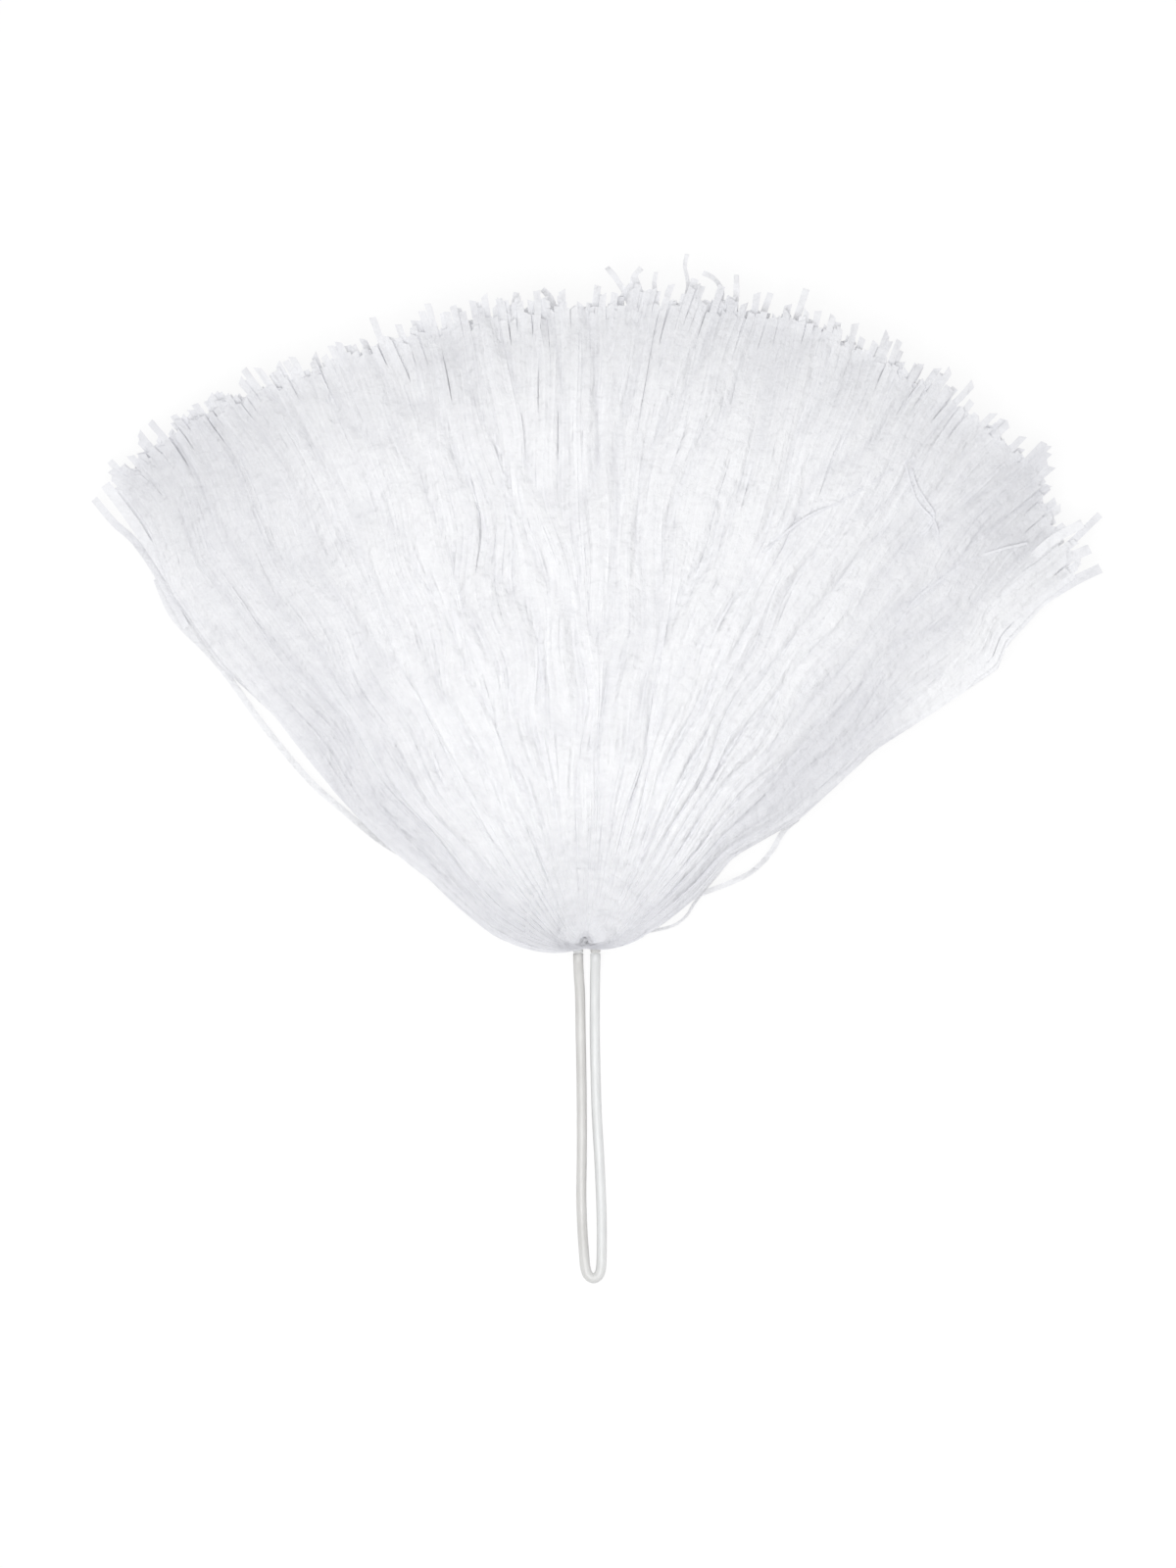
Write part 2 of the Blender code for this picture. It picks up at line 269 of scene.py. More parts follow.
@dataclass(frozen=True)
class TissueFinish:
    """Thin white crinkled tissue paper that lets light through. Its colour goes from bright to shaded with
    the painted shade and painted light that the mesh carries, over a random mottle.
    """

    # bright is the paper lit, shaded is the same paper in painted shade
    bright: Colour = (0.965, 0.968, 0.985)
    shaded: Colour = (0.79, 0.793, 0.825)
    let_through: Colour = (0.965, 0.97, 0.985)
    roughness: float = 0.85
    see_through: float = 0.18
    see_through_thin: float = 0.12
    mottle_scale: float = 70.0
    mottle: float = 0.5
    speckle_scale: float = 260.0
    speckle: float = 0.7
    mean_grey: float = 0.60
    crinkle_scale: float = 300.0
    crinkle: float = 0.8
    crinkle_depth: float = 0.0016
    crinkle_strength: float = 1.0
    streak_scale: tuple[float, float, float] = (420.0, 70.0, 1.0)
    streak: float = 0.5

    def build(self) -> bpy.types.Material:
        """Makes the material.

        Returns:
            The finished material.
        """
        made = Material("white_tissue")
        mottle = made.noise(self.mottle_scale, 3.0) * self.mottle
        speckle = made.noise(self.speckle_scale, 2.0) * self.speckle
        # painted shade and painted light from the mesh, plus the paper's random mottle and speckle
        shade = made.attribute(Look.SHADE) + (mottle + speckle) - self.mean_grey
        streaks = made.noise(1.0, 3.0, made.stretched(PAPER_MAP, self.streak_scale))
        crinkle = made.noise(self.crinkle_scale, 4.0) * self.crinkle
        crinkle = crinkle + streaks * made.attribute(Look.LOOSE) * self.streak
        paper = made.node(
            "ShaderNodeBsdfPrincipled",
            {},
            {
                "Base Color": made.between(shade, self.bright, self.shaded),
                "Roughness": self.roughness,
                "Normal": made.bump(crinkle, self.crinkle_depth, self.crinkle_strength),
            },
        )
        glow = made.node("ShaderNodeBsdfTranslucent", {}, {"Color": (*self.let_through, 1)})
        share = made.attribute(Look.THIN) * self.see_through_thin + self.see_through
        sockets = {0: share, 1: paper.outputs[0], 2: glow.outputs[0]}
        return made.output(made.node("ShaderNodeMixShader", {}, sockets))


@dataclass(frozen=True)
class CordFinish:
    """Milky soft plastic with faint streaks along the cord, its left leg painted darker and warmer than its
    right one as painted shade.
    """

    # the left leg's colours are the same plastic in painted shade, the right leg's are it lit
    left: Colour = (0.79, 0.785, 0.77)
    left_streak: Colour = (0.635, 0.627, 0.611)
    right: Colour = (0.88, 0.89, 0.89)
    right_streak: Colour = (0.75, 0.76, 0.76)
    roughness: float = 0.32
    clear: float = 0.25
    refraction: float = 1.45
    streak_stretch: tuple[float, float, float] = (3.0, 2.2, 1.0)
    streak_scale: float = 2.5
    streak_contrast: float = 1.6
    streak_start: float = 0.45
    streak_depth: float = 0.0001
    streak_strength: float = 0.15

    def build(self) -> bpy.types.Material:
        """Makes the material.

        Returns:
            The finished material.
        """
        made = Material("milky_plastic_cord")
        streaks = made.noise(self.streak_scale, 3.0, made.stretched(CORD_MAP, self.streak_stretch))
        share = streaks * self.streak_contrast - self.streak_start
        left = made.between(share, self.left, self.left_streak)
        right = made.between(share, self.right, self.right_streak)
        plastic = made.node(
            "ShaderNodeBsdfPrincipled",
            {},
            {
                # the leg look picks the painted-shade left leg or the lit right leg
                "Base Color": made.between(made.attribute(Look.LEG), left, right),
                "Roughness": self.roughness,
                "Transmission Weight": self.clear,
                "IOR": self.refraction,
                "Normal": made.bump(streaks, self.streak_depth, self.streak_strength),
            },
        )
        return made.output(plastic)


@dataclass(frozen=True)
class TableFinish:
    """A white table that shows as the white background and keeps a faint shadow."""

    colour: Colour = (0.93, 0.93, 0.93)
    roughness: float = 0.9
    glow: float = 1.02
    background: float = 0.86

    def build(self) -> bpy.types.Material:
        """Makes the material.

        Returns:
            The finished material.
        """
        made = Material("white_table")
        sockets = {"Base Color": (*self.colour, 1), "Roughness": self.roughness}
        board = made.node("ShaderNodeBsdfPrincipled", {}, sockets)
        glow = made.node("ShaderNodeEmission", {}, {"Color": (1, 1, 1, 1), "Strength": self.glow})
        rays = made.node("ShaderNodeLightPath")
        seen = made.value(rays.outputs["Is Camera Ray"])
        for name in ("Is Glossy Ray", "Is Transmission Ray"):
            seen = seen + made.value(rays.outputs[name])
        sockets = {0: seen * self.background, 1: board.outputs[0], 2: glow.outputs[0]}
        return made.output(made.node("ShaderNodeMixShader", {}, sockets))


@dataclass(frozen=True)
class Fan:
    """The shape that the fringe opens into: where a place across it and a distance from the neck lie."""

    neck_x: float
    neck_y: float
    sheets: int = 5
    tissue: float = 0.0003
    fold_pitch: float = 0.0009
    neck_radius: float = 0.0075
    neck_height: float = 0.0069
    inner_fold: float = 0.00295
    knot_room: float = 0.00545
    swell_radius: float = 0.0140
    knot_place: float = 0.01467
    uncut_reach: float = 0.022
    uncut_lift: float = 0.0006
    rim_radius: float = 0.250
    rim_shape: tuple[float, ...] = (1.03, 1.015, 0.985, 0.975, 0.975, 0.995, 1.02, 1.015, 1.02, 0.96)
    left: float = math.radians(50)
    right: float = math.radians(56)
    sweep_left: float = 0.90
    sweep_right: float = 0.28
    flare_left: float = 1.30
    flare_right: float = 1.35
    flare_reach: float = 0.017
    loft: float = 0.029
    loft_reach: float = 0.060
    loft_at_rim: float = 0.85
    loft_at_side: float = 0.32

    @property
    def layers(self) -> int:
        """The number of layers of tissue: two for each folded sheet."""
        return 2 * self.sheets

    def angle(self, place: Table, radius: Table) -> Table:
        """The direction from the neck of a place, from -1 at the left edge to 1 at the right one.

        Args:
            place: Where across the fan.
            radius: The distance from the neck.

        Returns:
            The angle from +Y towards +X.
        """
        across = (place + 1) / 2
        outward = np.maximum(1 - radius / self.rim_radius, 0.0)
        sweep = mix(self.sweep_left, self.sweep_right, across) * outward**2
        flare = mix(self.flare_left, self.flare_right, across)
        bow = 1 + sweep + flare * np.exp(-(radius - self.neck_radius) / self.flare_reach)
        return mix(-self.left, self.right, across) * bow

    def span(self, place: Table, radius: Table) -> Table:
        """The distance that one unit of place takes up.

        Args:
            place: Where across the fan.
            radius: The distance from the neck.

        Returns:
            Metres per unit of place.
        """
        step = 0.01
        return radius * (self.angle(place + step, radius) - self.angle(place - step, radius)) / (2 * step)

    def rim(self, place: Table) -> Table:
        """How far from the neck the strips end at a place across the fan."""
        return self.rim_radius * np.interp(place, np.linspace(-1, 1, len(self.rim_shape)), self.rim_shape)

    def pitch(self, place: Table, radius: Table) -> Table:
        """The height from one layer to the next.

        Args:
            place: Where across the fan.
            radius: The distance from the neck.

        Returns:
            The height in metres.
        """
        rise = ease((radius - self.neck_radius) / (self.loft_reach - self.neck_radius))
        outward = (radius - self.loft_reach) / (self.rim_radius - self.loft_reach)
        fall = mix(1, self.loft_at_rim, ease(outward))
        side = mix(self.loft_at_side, 1, np.maximum(1 - place * place, 0.0))
        return self.fold_pitch + self.loft * rise * fall * side / (self.layers - 1)

    def core(self, place: Table, radius: Table) -> Table:
        """Half the height between the two innermost layers, where the knot lies.

        Args:
            place: Where across the fan.
            radius: The distance from the neck.

        Returns:
            The half height in metres.
        """
        near = np.clip((radius - self.neck_radius) / (self.swell_radius - self.neck_radius), 0.0, 1.0)
        closed = ease((radius - self.uncut_reach) / (self.loft_reach - self.uncut_reach))
        room = mix(self.inner_fold, self.knot_room, near)
        return mix(room, self.pitch(place, radius) / 2, closed)

    def height(self, layer: int, place: Table, radius: Table) -> Table:
        """The height of a layer above the table.

        Args:
            layer: The layer, counted from the lowest.
            place: Where across the fan.
            radius: The distance from the neck.

        Returns:
            The height in metres.
        """
        pitch = self.pitch(place, radius)
        lift = self.uncut_lift * (1 - ease((radius - self.uncut_reach) / self.uncut_reach))
        raised = self.tissue / 2 + lift + layer * pitch
        if layer >= self.sheets:
            raised = raised + 2 * self.core(place, radius) - pitch
        return raised

    def place_at(self, x: Table, y: Table) -> tuple[Table, Table]:
        """The place across the fan and the distance from the neck of points measured from the neck.

        Args:
            x: Across.
            y: Away from the hand loop.

        Returns:
            The place and the distance.
        """
        grid = np.linspace(-1, 1, 201)
        radius = np.hypot(x, y)
        turn = np.arctan2(x, y)
        place = [np.interp(a, self.angle(grid, np.full_like(grid, r)), grid) for a, r in zip(turn, radius)]
        return np.array(place), radius

    def plan(self, place: Table, radius: Table) -> tuple[Table, Table]:
        """The X and Y of a place at a distance from the neck.

        Args:
            place: Where across the fan.
            radius: The distance from the neck.

        Returns:
            X and Y in the part's frame.
        """
        angle = self.angle(place, radius)
        return self.neck_x + radius * np.sin(angle), self.neck_y + radius * np.cos(angle)


class Ribbons:
    """Collects ribbons of paper into one mesh."""

    def __init__(self) -> None:
        """Starts with no ribbon."""
        self.points: list[Table] = []
        self.quads: list[Table] = []
        self.flat: list[Table] = []
        self.looks: list[Table] = []
        self.count = 0

    def add(self, grid: Table, flat: Table, looks: Table) -> None:
        """Adds ribbons, or one pleated sheet, as grids of points.

        Args:
            grid: Points of shape (ribbons, rows, columns, 3).
            flat: Where each point lies in the flat sheet, across and along it, in metres.
            looks: How much painted shade, how thin and how loose each point is, of shape (ribbons, rows,
                columns, 3).
        """
        ribbons, rows, columns, _ = grid.shape
        index = self.count + np.arange(ribbons * rows * columns).reshape(ribbons, rows, columns)
        corners = (index[:, :-1, :-1], index[:, :-1, 1:], index[:, 1:, 1:], index[:, 1:, :-1])
        self.quads.append(np.stack(corners, axis=-1).reshape(-1, 4))
        self.points.append(grid.reshape(-1, 3))
        self.flat.append(flat.reshape(-1, 2))
        self.looks.append(looks.reshape(-1, len(PAPER_LOOKS)))
        self.count += ribbons * rows * columns

    def mesh(self, name: str, material: bpy.types.Material) -> bpy.types.Object:
        """Makes the object.

        Args:
            name: Its name.
            material: Its material.

        Returns:
            The object, linked to the scene.
        """
        data = bpy.data.meshes.new(name)
        data.from_pydata(np.concatenate(self.points).tolist(), [], np.concatenate(self.quads).tolist())
        for look, values in zip(PAPER_LOOKS, np.concatenate(self.looks).T):
            carried = data.attributes.new(look.value, "FLOAT", "POINT").data
            carried.foreach_set("value", values.astype(np.float32))
        flat = data.uv_layers.new(name=PAPER_MAP)
        corners = np.empty(len(data.loops), np.int32)
        data.loops.foreach_get("vertex_index", corners)
        flat.data.foreach_set("uv", np.concatenate(self.flat)[corners].astype(np.float32).ravel())
        data.shade_smooth()
        data.materials.append(material)
        return placed(name, data)


class Relief:
    """Rounded swellings, long along the strips, with thin creases that wander and meet between them."""

    lean: float = math.radians(65)
    back_slope: float = 0.4
    back_top: float = 1.6
    mean: float = 0.4
    valley_depth: float = 1.2
    valley_width: float = 0.55

    def __init__(self, dice: np.random.Generator, across: float, along: float, waves: int = 12) -> None:
        """Draws the waves that it is the sum of.

        Args:
            dice: The random numbers.
            across: Waves in one unit of place.
            along: Waves from the neck to the rim.
            waves: How many waves to add.
        """
        turn = dice.uniform(-1, 1, waves) * self.lean
        self.across = across * np.cos(turn)
        self.along = along * np.sin(turn)
        self.start = dice.uniform(0, 2 * math.pi, waves)

    def level(self, place: Table, share: Table) -> Table:
        """The waves' sum, which goes smoothly from about -2 to 2.

        Args:
            place: Where across the fan.
            share: The distance from the neck as a share of the rim's.

        Returns:
            The sum.
        """
        total = np.zeros(np.broadcast(place, share).shape)
        for across, along, start in zip(self.across, self.along, self.start):
            total += np.cos(2 * math.pi * (across * place + along * share) + start)
        return total * math.sqrt(2 / len(self.start))

    def line(self, place: Table, share: Table, width: float) -> Table:
        """Where the creases are.

        Args:
            place: Where across the fan.
            share: The distance from the neck as a share of the rim's.
            width: How wide a crease is, as a share of the waves' height.

        Returns:
            1 in a crease, and 0 away from it.
        """
        return bell(self.level(place, share), width)

    def swell(self, place: Table, share: Table) -> Table:
        """The height of the swellings, from about -1 in a crease to 1 on a back.

        Args:
            place: Where across the fan.
            share: The distance from the neck as a share of the rim's.

        Returns:
            The height.
        """
        level = self.level(place, share)
        back = self.back_slope * np.minimum(np.abs(level), self.back_top)
        return back + self.mean - self.valley_depth * bell(level, self.valley_width)


@dataclass
class Locks:
    """How all the layers together lie in locks, and how the locks bend."""

    fan: Fan
    depth: float = 0.045
    small_depth: float = 0.018
    bend_width: float = 0.0038
    wiggle_width: float = 0.0009
    fold_depth: float = 0.00028
    fold_reach: float = 0.055
    fine_fold_share: float = 0.25
    fold_at_neck: float = 0.3
    heights: tuple[float, ...] = (0, 0.14, 0.29, 0.45, 0.62, 0.78, 0.89, 0.95, 0.982, 1)
    rim_heights: tuple[float, ...] = (0, 0.34, 0.58, 0.74, 0.84, 0.90, 0.94, 0.968, 0.987, 1)
    rim_start: float = 0.6
    rim_reach: float = 0.3
    crease_width: float = 0.30

    def __post_init__(self) -> None:
        """Draws the locks of this fan."""
        dice = np.random.default_rng(7)
        self.large = Relief(dice, 7, 3.0)
        self.small = Relief(dice, 18, 5.0)
        self.bends = Relief(dice, 2, 1.3)
        self.wiggles = Relief(dice, 4, 6)
        self.folds = Relief(dice, 11, 4.0)
        self.fine_folds = Relief(dice, 28, 7.0)

    def lift(self, layer: int, place: Table, radius: Table) -> Table:
        """How far the locks raise a layer.

        Args:
            layer: The layer, counted from the lowest.
            place: Where across the fan.
            radius: The distance from the neck.

        Returns:
            The rise in metres.
        """
        fan = self.fan
        share = radius / fan.rim_radius
        opened = ease((radius - fan.neck_radius) / (fan.uncut_reach - fan.neck_radius))
        tight = 1 - ease((radius - fan.uncut_reach) / self.fold_reach)
        gathered = mix(self.fold_at_neck, 1.0, opened) * tight
        folds = self.folds.swell(place, share) + self.fine_fold_share * self.fine_folds.swell(place, share)
        loft = (fan.pitch(place, radius) - fan.fold_pitch) * (fan.layers - 1)
        at_rim = ease((share - self.rim_start) / self.rim_reach)
        level = mix(self.heights[layer], self.rim_heights[layer], at_rim)
        closer = level - layer / (fan.layers - 1)
        small = self.small_depth * ease(2.5 * share) * self.small.swell(place, share)
        swell = self.depth * self.large.swell(place, share) + small
        return loft * (closer * ease(4 * share) + level * swell) + self.fold_depth * gathered * folds

    def painted_crease_shade(self, place: Table, radius: Table) -> Table:
        """The painted shade in the creases between the locks, from 0 to 1."""
        share = radius / self.fan.rim_radius
        return self.large.line(place, share, self.crease_width) * ease(3 * share)

    def bend(self, place: Table, radius: Table) -> Table:
        """How far the locks bend aside, slowly over the whole length and quickly near the neck.

        Args:
            place: Where across the fan.
            radius: The distance from the neck.

        Returns:
            The distance towards the right in metres.
        """
        share = radius / self.fan.rim_radius
        slow = self.bend_width * ease(1.6 * share - 0.15) * self.bends.level(place, share) / 1.5
        quick = self.wiggle_width * ease(3 * share - 0.3) * (1 - 0.6 * ease(2 * share - 1))
        return slow + quick * self.wiggles.level(place, share)


@dataclass(frozen=True)
class PaintedShadeAndTone:
    """Painted shade on the paper by its place: more at the sides, near the neck and at the rim, with painted
    light on a pale wisp at the right edge, and a random grey for each strip and lock.
    """

    # painted shade near the neck, at the sides and in a band and edge along them
    neck: float = 0.55
    neck_sides: float = 0.25
    neck_reach: float = 0.055
    sides: float = 0.20
    band: float = 0.30
    band_place: float = 0.83
    band_width: float = 0.12
    edge: float = 0.40
    edge_place: float = 0.72
    edge_width: float = 0.22
    edge_end: float = 0.125
    edge_fade: float = 0.06
    # painted light: a pale wisp where the head is thin at its right edge
    painted_light_wisp: float = 0.50
    wisp_place: float = 0.97
    wisp_width: float = 0.07
    wisp_start: float = 0.135
    wisp_rise: float = 0.045
    # painted shade along the rim and on the cut tips
    rim: float = 0.13
    rim_start: float = 0.65
    rim_reach: float = 0.3
    tip: float = 0.20
    tip_start: float = 0.985
    tip_reach: float = 0.02
    thin_start: float = 0.80
    thin_reach: float = 0.16
    # a random grey for each strip and each lock
    strip: float = 0.12
    # painted shade in the creases between the locks
    crease: float = 0.30

    def painted_shade_by_place(self, place: Table, radius: Table, neck_radius: float) -> Table:
        """The painted shade at a place, but for the rim, with painted light that makes a pale wisp at the
        right edge.

        Args:
            place: Where across the fan.
            radius: The distance from the neck.
            neck_radius: The radius of the neck.

        Returns:
            The painted shade.
        """
        near = 1 - ease((radius - neck_radius) / self.neck_reach)
        aside = np.abs(place)
        side = self.sides * place**2 + self.band * bell(aside - self.band_place, self.band_width)
        short = 1 - ease((radius - self.edge_end) / self.edge_fade)
        side += self.edge * ease((aside - self.edge_place) / self.edge_width) * short
        far = ease((radius - self.wisp_start) / self.wisp_rise)
        painted_light_wisp = self.painted_light_wisp * bell(place - self.wisp_place, self.wisp_width) * far
        return side + near * (self.neck + self.neck_sides * place**2) - painted_light_wisp

    def at_rim(self, share: Table) -> Table:
        """The painted shade on the rim and the tips, by the distance as a share of the rim's."""
        rim = self.rim * ease((share - self.rim_start) / self.rim_reach)
        return rim + self.tip * ease((share - self.tip_start) / self.tip_reach)

    def thin(self, share: Table) -> Table:
        """How thin the head is, where the light comes through, by the same share."""
        return ease((share - self.thin_start) / self.thin_reach)


@dataclass
class Fringe:
    """How the strips of one layer wander, twist, crumple and end."""

    fan: Fan
    locks: Locks
    layer: int
    painted_shade_and_tone: PaintedShadeAndTone = PaintedShadeAndTone()
    strips: int = 244
    width: float = 0.0027
    rings: int = 64
    layer_spread: float = 0.9
    opening_rate: float = 3.0
    opened_share: float = 0.3
    layer_bend: float = 0.0014
    strip_bend: float = 0.00020
    strip_bends: tuple[float, float] = (0.6, 3.0)
    kink: float = 0.00004
    lock_sizes: tuple[int, int] = (5, 21)
    lock_bend: float = 0.0018
    lock_bends: tuple[float, float] = (0.8, 4.0)
    bend_span: float = 0.15
    lock_lift: float = 0.0008
    lock_lifts: tuple[float, float] = (0.8, 3.0)
    lock_crown: float = 0.0011
    lock_spread: float = 0.10
    swelling: float = 0.10
    unevenness: float = 0.05
    uneven_waves: tuple[float, float] = (0.5, 4.0)
    crumple: float = 0.00003
    crease: float = 0.00010
    crease_waves: tuple[float, float] = (1, 6)
    narrow_crease: float = 0.03
    shingle: float = 0.00007
    twist: float = math.radians(5)
    twists: tuple[float, float] = (0.5, 3.0)
    quick_twist: float = 0.12
    quick_twists: tuple[float, float] = (6, 14)
    narrowest: float = 1.2
    widest: float = 2.4
    widening: float = 0.25
    ragged: float = 0.014
    recess: float = 0.045
    cut_line: float = 0.991
    side_slack: float = 0.0008
    left_radii: tuple[float, ...] = (0.036, 0.064, 0.148, 0.178, 0.210, 0.233, 0.250)
    left_insets: tuple[float, ...] = (0.0, 0.0066, 0.0068, 0.0006, 0.0022, 0.0120, 0.0155)
    right_radii: tuple[float, ...] = (0.046, 0.065, 0.095, 0.132, 0.170, 0.192, 0.200, 0.220)
    right_insets: tuple[float, ...] = (0.0, 0.0040, 0.0, 0.0040, 0.0, -0.0020, 0.0030, 0.0063)
    inset_reach: float = 0.5
    tab: float = 0.046
    tab_share: float = 0.42
    tip_bend: float = 0.0008
    tip_start: float = 0.90
    tip_reach: float = 0.10
    slant: float = 0.0011
    own_folds: float = 0.00012

    def __post_init__(self) -> None:
        """Draws what is random in this layer."""
        self.dice = np.random.default_rng(100 + self.layer)
        self.own = Relief(self.dice, 26, 3.4)
        self.drift = Relief(self.dice, 5, 1.8)
        self.leaning = Relief(self.dice, 12, 1.0)
        self.folds = Relief(self.dice, 40, 5.0)
        ends = np.cumsum(self.dice.integers(*self.lock_sizes, self.strips))
        self.lock = np.searchsorted(ends, np.arange(self.strips), side="right")

    def height(self, place: Table, radius: Table) -> Table:
        """The height of this layer's paper above the table, with its folds and locks.

        Args:
            place: Where across the sheet.
            radius: The distance from the neck.

        Returns:
            The height in metres.
        """
        fan = self.fan
        share = radius / fan.rim_radius
        free = fan.pitch(place, radius) - fan.fold_pitch
        own = self.swelling * free * self.own.swell(place, share)
        raised = fan.height(self.layer, place, radius) + self.locks.lift(self.layer, place, radius)
        return raised + own + self.own_folds * self.folds.swell(place, share)

    def wave(self, along: Table, waves: tuple[float, float]) -> Table:
        """A smooth random curve along each strip.

        Args:
            along: Where along the strip, from 0 to 1.
            waves: The fewest and the most waves in a strip.

        Returns:
            Values of about -1 to 1, of shape (strips, places along).
        """
        total = np.zeros((self.strips, along.shape[-1]))
        for weight in (0.5, 0.3, 0.2):
            count = self.dice.uniform(*waves, (self.strips, 1))
            start = self.dice.uniform(0, 2 * math.pi, (self.strips, 1))
            total += weight * np.sin(2 * math.pi * count * along + start)
        return total

    def inset(self, place: Table, radius: Table) -> Table:
        """How far aside the uneven sides of the fan push the strips near them.

        Args:
            place: Where across the fan.
            radius: The distance from the neck.

        Returns:
            The distance towards the right, in metres.
        """
        left = np.interp(radius, self.left_radii, self.left_insets)
        right = np.interp(radius, self.right_radii, self.right_insets)
        near_left = np.clip(1 - (1 + place) / self.inset_reach, 0, 1) ** 2
        near_right = np.clip(1 - (1 - place) / self.inset_reach, 0, 1) ** 2
        return left * near_left - right * near_right

    def in_lock(self, start: Table) -> tuple[Table, Table]:
        """Where each strip lies in its own lock.

        Args:
            start: Each strip's place, of shape (strips, 1).

        Returns:
            Its place from the lock's middle, and that as a share of the lock's half width.
        """
        count = np.bincount(self.lock)
        middle = np.bincount(self.lock, start[:, 0]) / count
        place = start - middle[self.lock][:, None]
        return place, place * self.strips / count[self.lock][:, None]

    def kinks(self) -> Table:
        """How far each strip has gone aside, in metres, by turning a little at every ring."""
        turns = self.dice.normal(0, self.kink, (self.strips, self.rings))
        path = np.cumsum(turns, axis=1)
        return path - np.linspace(0, 1, self.rings) * path[:, -1:] * 0.5

    def reach(self, place: Table) -> Table:
        """How far from the neck each strip ends.

        Args:
            place: Each strip's place, of shape (strips, 1).

        Returns:
            The distances, of shape (strips, 1).
        """
        dice = self.dice
        level = self.locks.rim_heights[self.layer]
        short = self.ragged * dice.random(place.shape) ** 1.5
        inner = self.cut_line - short - self.recess * (1 - level) ** 0.75
        tabs = dice.random(place.shape) < self.tab_share
        outer = self.tab * level**8 * dice.random(place.shape) ** 1.6
        return self.fan.rim(place) * (inner + np.where(tabs, outer, 0.0))

    def aside(self, place: Table, radius: Table, along: Table, opened: Table) -> Table:
        """How far aside the strips run, with all the locks, with their layer, with their lock and alone.

        Args:
            place: Where across the fan.
            radius: The distance from the neck.
            along: Where along the strip, from 0 to 1.
            opened: How far the gathered paper has opened out there, from 0 to 1.

        Returns:
            The distance towards the right in metres, of shape (strips, rings).
        """
        span = self.fan.span(np.clip(place, -1, 1), radius)
        layer_bend = self.layer_bend * self.drift.level(place, along) / 1.5
        strip_bend = self.strip_bend * self.wave(along, self.strip_bends) + self.kinks()
        lock_bend = self.lock_bend * self.wave(along, self.lock_bends)[self.lock]
        strip_bend = strip_bend + lock_bend * np.minimum(span / self.bend_span, 1.0)
        tip = self.tip_bend * self.dice.normal(0, 1, (self.strips, 1))
        tip = tip * ease((along - self.tip_start) / self.tip_reach)
        free = self.locks.bend(place, radius) + (layer_bend + strip_bend) * opened + tip
        room = (1 - np.abs(place)) * span + self.side_slack
        return np.clip(free, -room, room) + self.inset(place, radius)

    def rough(self, place: Table, radius: Table, along: Table, opened: Table, in_lock: Table) -> Table:
        """How far the strips rise and fall by themselves and with their lock.

        Args:
            place: Where across the fan.
            radius: The distance from the neck.
            along: Where along the strip, from 0 to 1.
            opened: How far the gathered paper has opened out there, from 0 to 1.
            in_lock: Where in its lock each strip lies, from -1 to 1.

        Returns:
            The rise in metres, of shape (strips, rings).
        """
        free = (self.fan.pitch(place, radius) - self.fan.fold_pitch) * opened
        alone = self.unevenness * free * self.wave(along, self.uneven_waves) * 0.5
        crown = self.lock_crown * (0.5 - np.abs(in_lock) ** 2.5)
        together = self.lock_lift * self.wave(along, self.lock_lifts)[self.lock] + crown
        crumple = self.crumple * self.dice.normal(0, 1, alone.shape)
        return alone + together * opened + crumple * opened

    def ribbons(self) -> tuple[Table, Table, Table]:
        """The layer's strips, each creased down its middle.

        Returns:
            The points of shape (strips, rings, 3, 3), their places in the flat sheet, and their looks.
        """
        fan = self.fan
        along = np.linspace(0, 1, self.rings)[None, :]
        start = (-1 + (2 * np.arange(self.strips) + 1) / self.strips)[:, None]
        radius = mix(fan.uncut_reach, self.reach(start), along)
        opened = np.minimum(self.opening_rate * along, 1.0)
        shift = (self.layer * 0.618 % 1 - 0.5) * 2 * self.layer_spread / self.strips
        in_lock, lock_share = self.in_lock(start)
        place = start + (shift + self.lock_spread * in_lock) * opened
        span = fan.span(np.clip(place, -1, 1), radius)
        aside = self.aside(place, radius, along, opened)
        widening = mix(self.narrowest, self.widest, ease(along / self.widening))
        width = np.minimum(self.width, 2 / self.strips * span * widening)
        flat_out = ease(along / self.opened_share)
        twist = self.wave(along, self.twists) + self.quick_twist * self.wave(along, self.quick_twists)
        twist = self.twist * twist * flat_out
        offset = np.array([-1.0, 0.0, 1.0])
        half = (width / 2)[..., None] * offset
        across = half * np.cos(twist)[..., None] / span[..., None]
        narrow = self.narrow_crease * np.maximum(self.width - width, 0)
        crease = (self.crease * self.wave(along, self.crease_waves) + narrow)[..., None] * (offset == 0)
        shingle = (self.shingle * np.tanh(3 * self.leaning.level(place, along)))[..., None] * offset
        lift = half * np.sin(twist)[..., None] + flat_out[..., None] * (crease + shingle)
        rough = self.rough(place, radius, along, opened, lock_share)
        far = np.repeat(radius[..., None], 3, axis=2)
        far[:, -1] += self.slant * self.dice.uniform(-1, 1, start.shape) * offset
        own = np.clip(place[..., None] + across, -1, 1)
        x, y = fan.plan(place[..., None] + (aside / span)[..., None] + across, far)
        z = self.height(own, far) + lift + rough[..., None]
        grid = np.stack([x, y, np.maximum(z, fan.tissue / 2)], axis=-1)
        return grid, self.flat_place(start, radius, offset), self.looks(own, far)

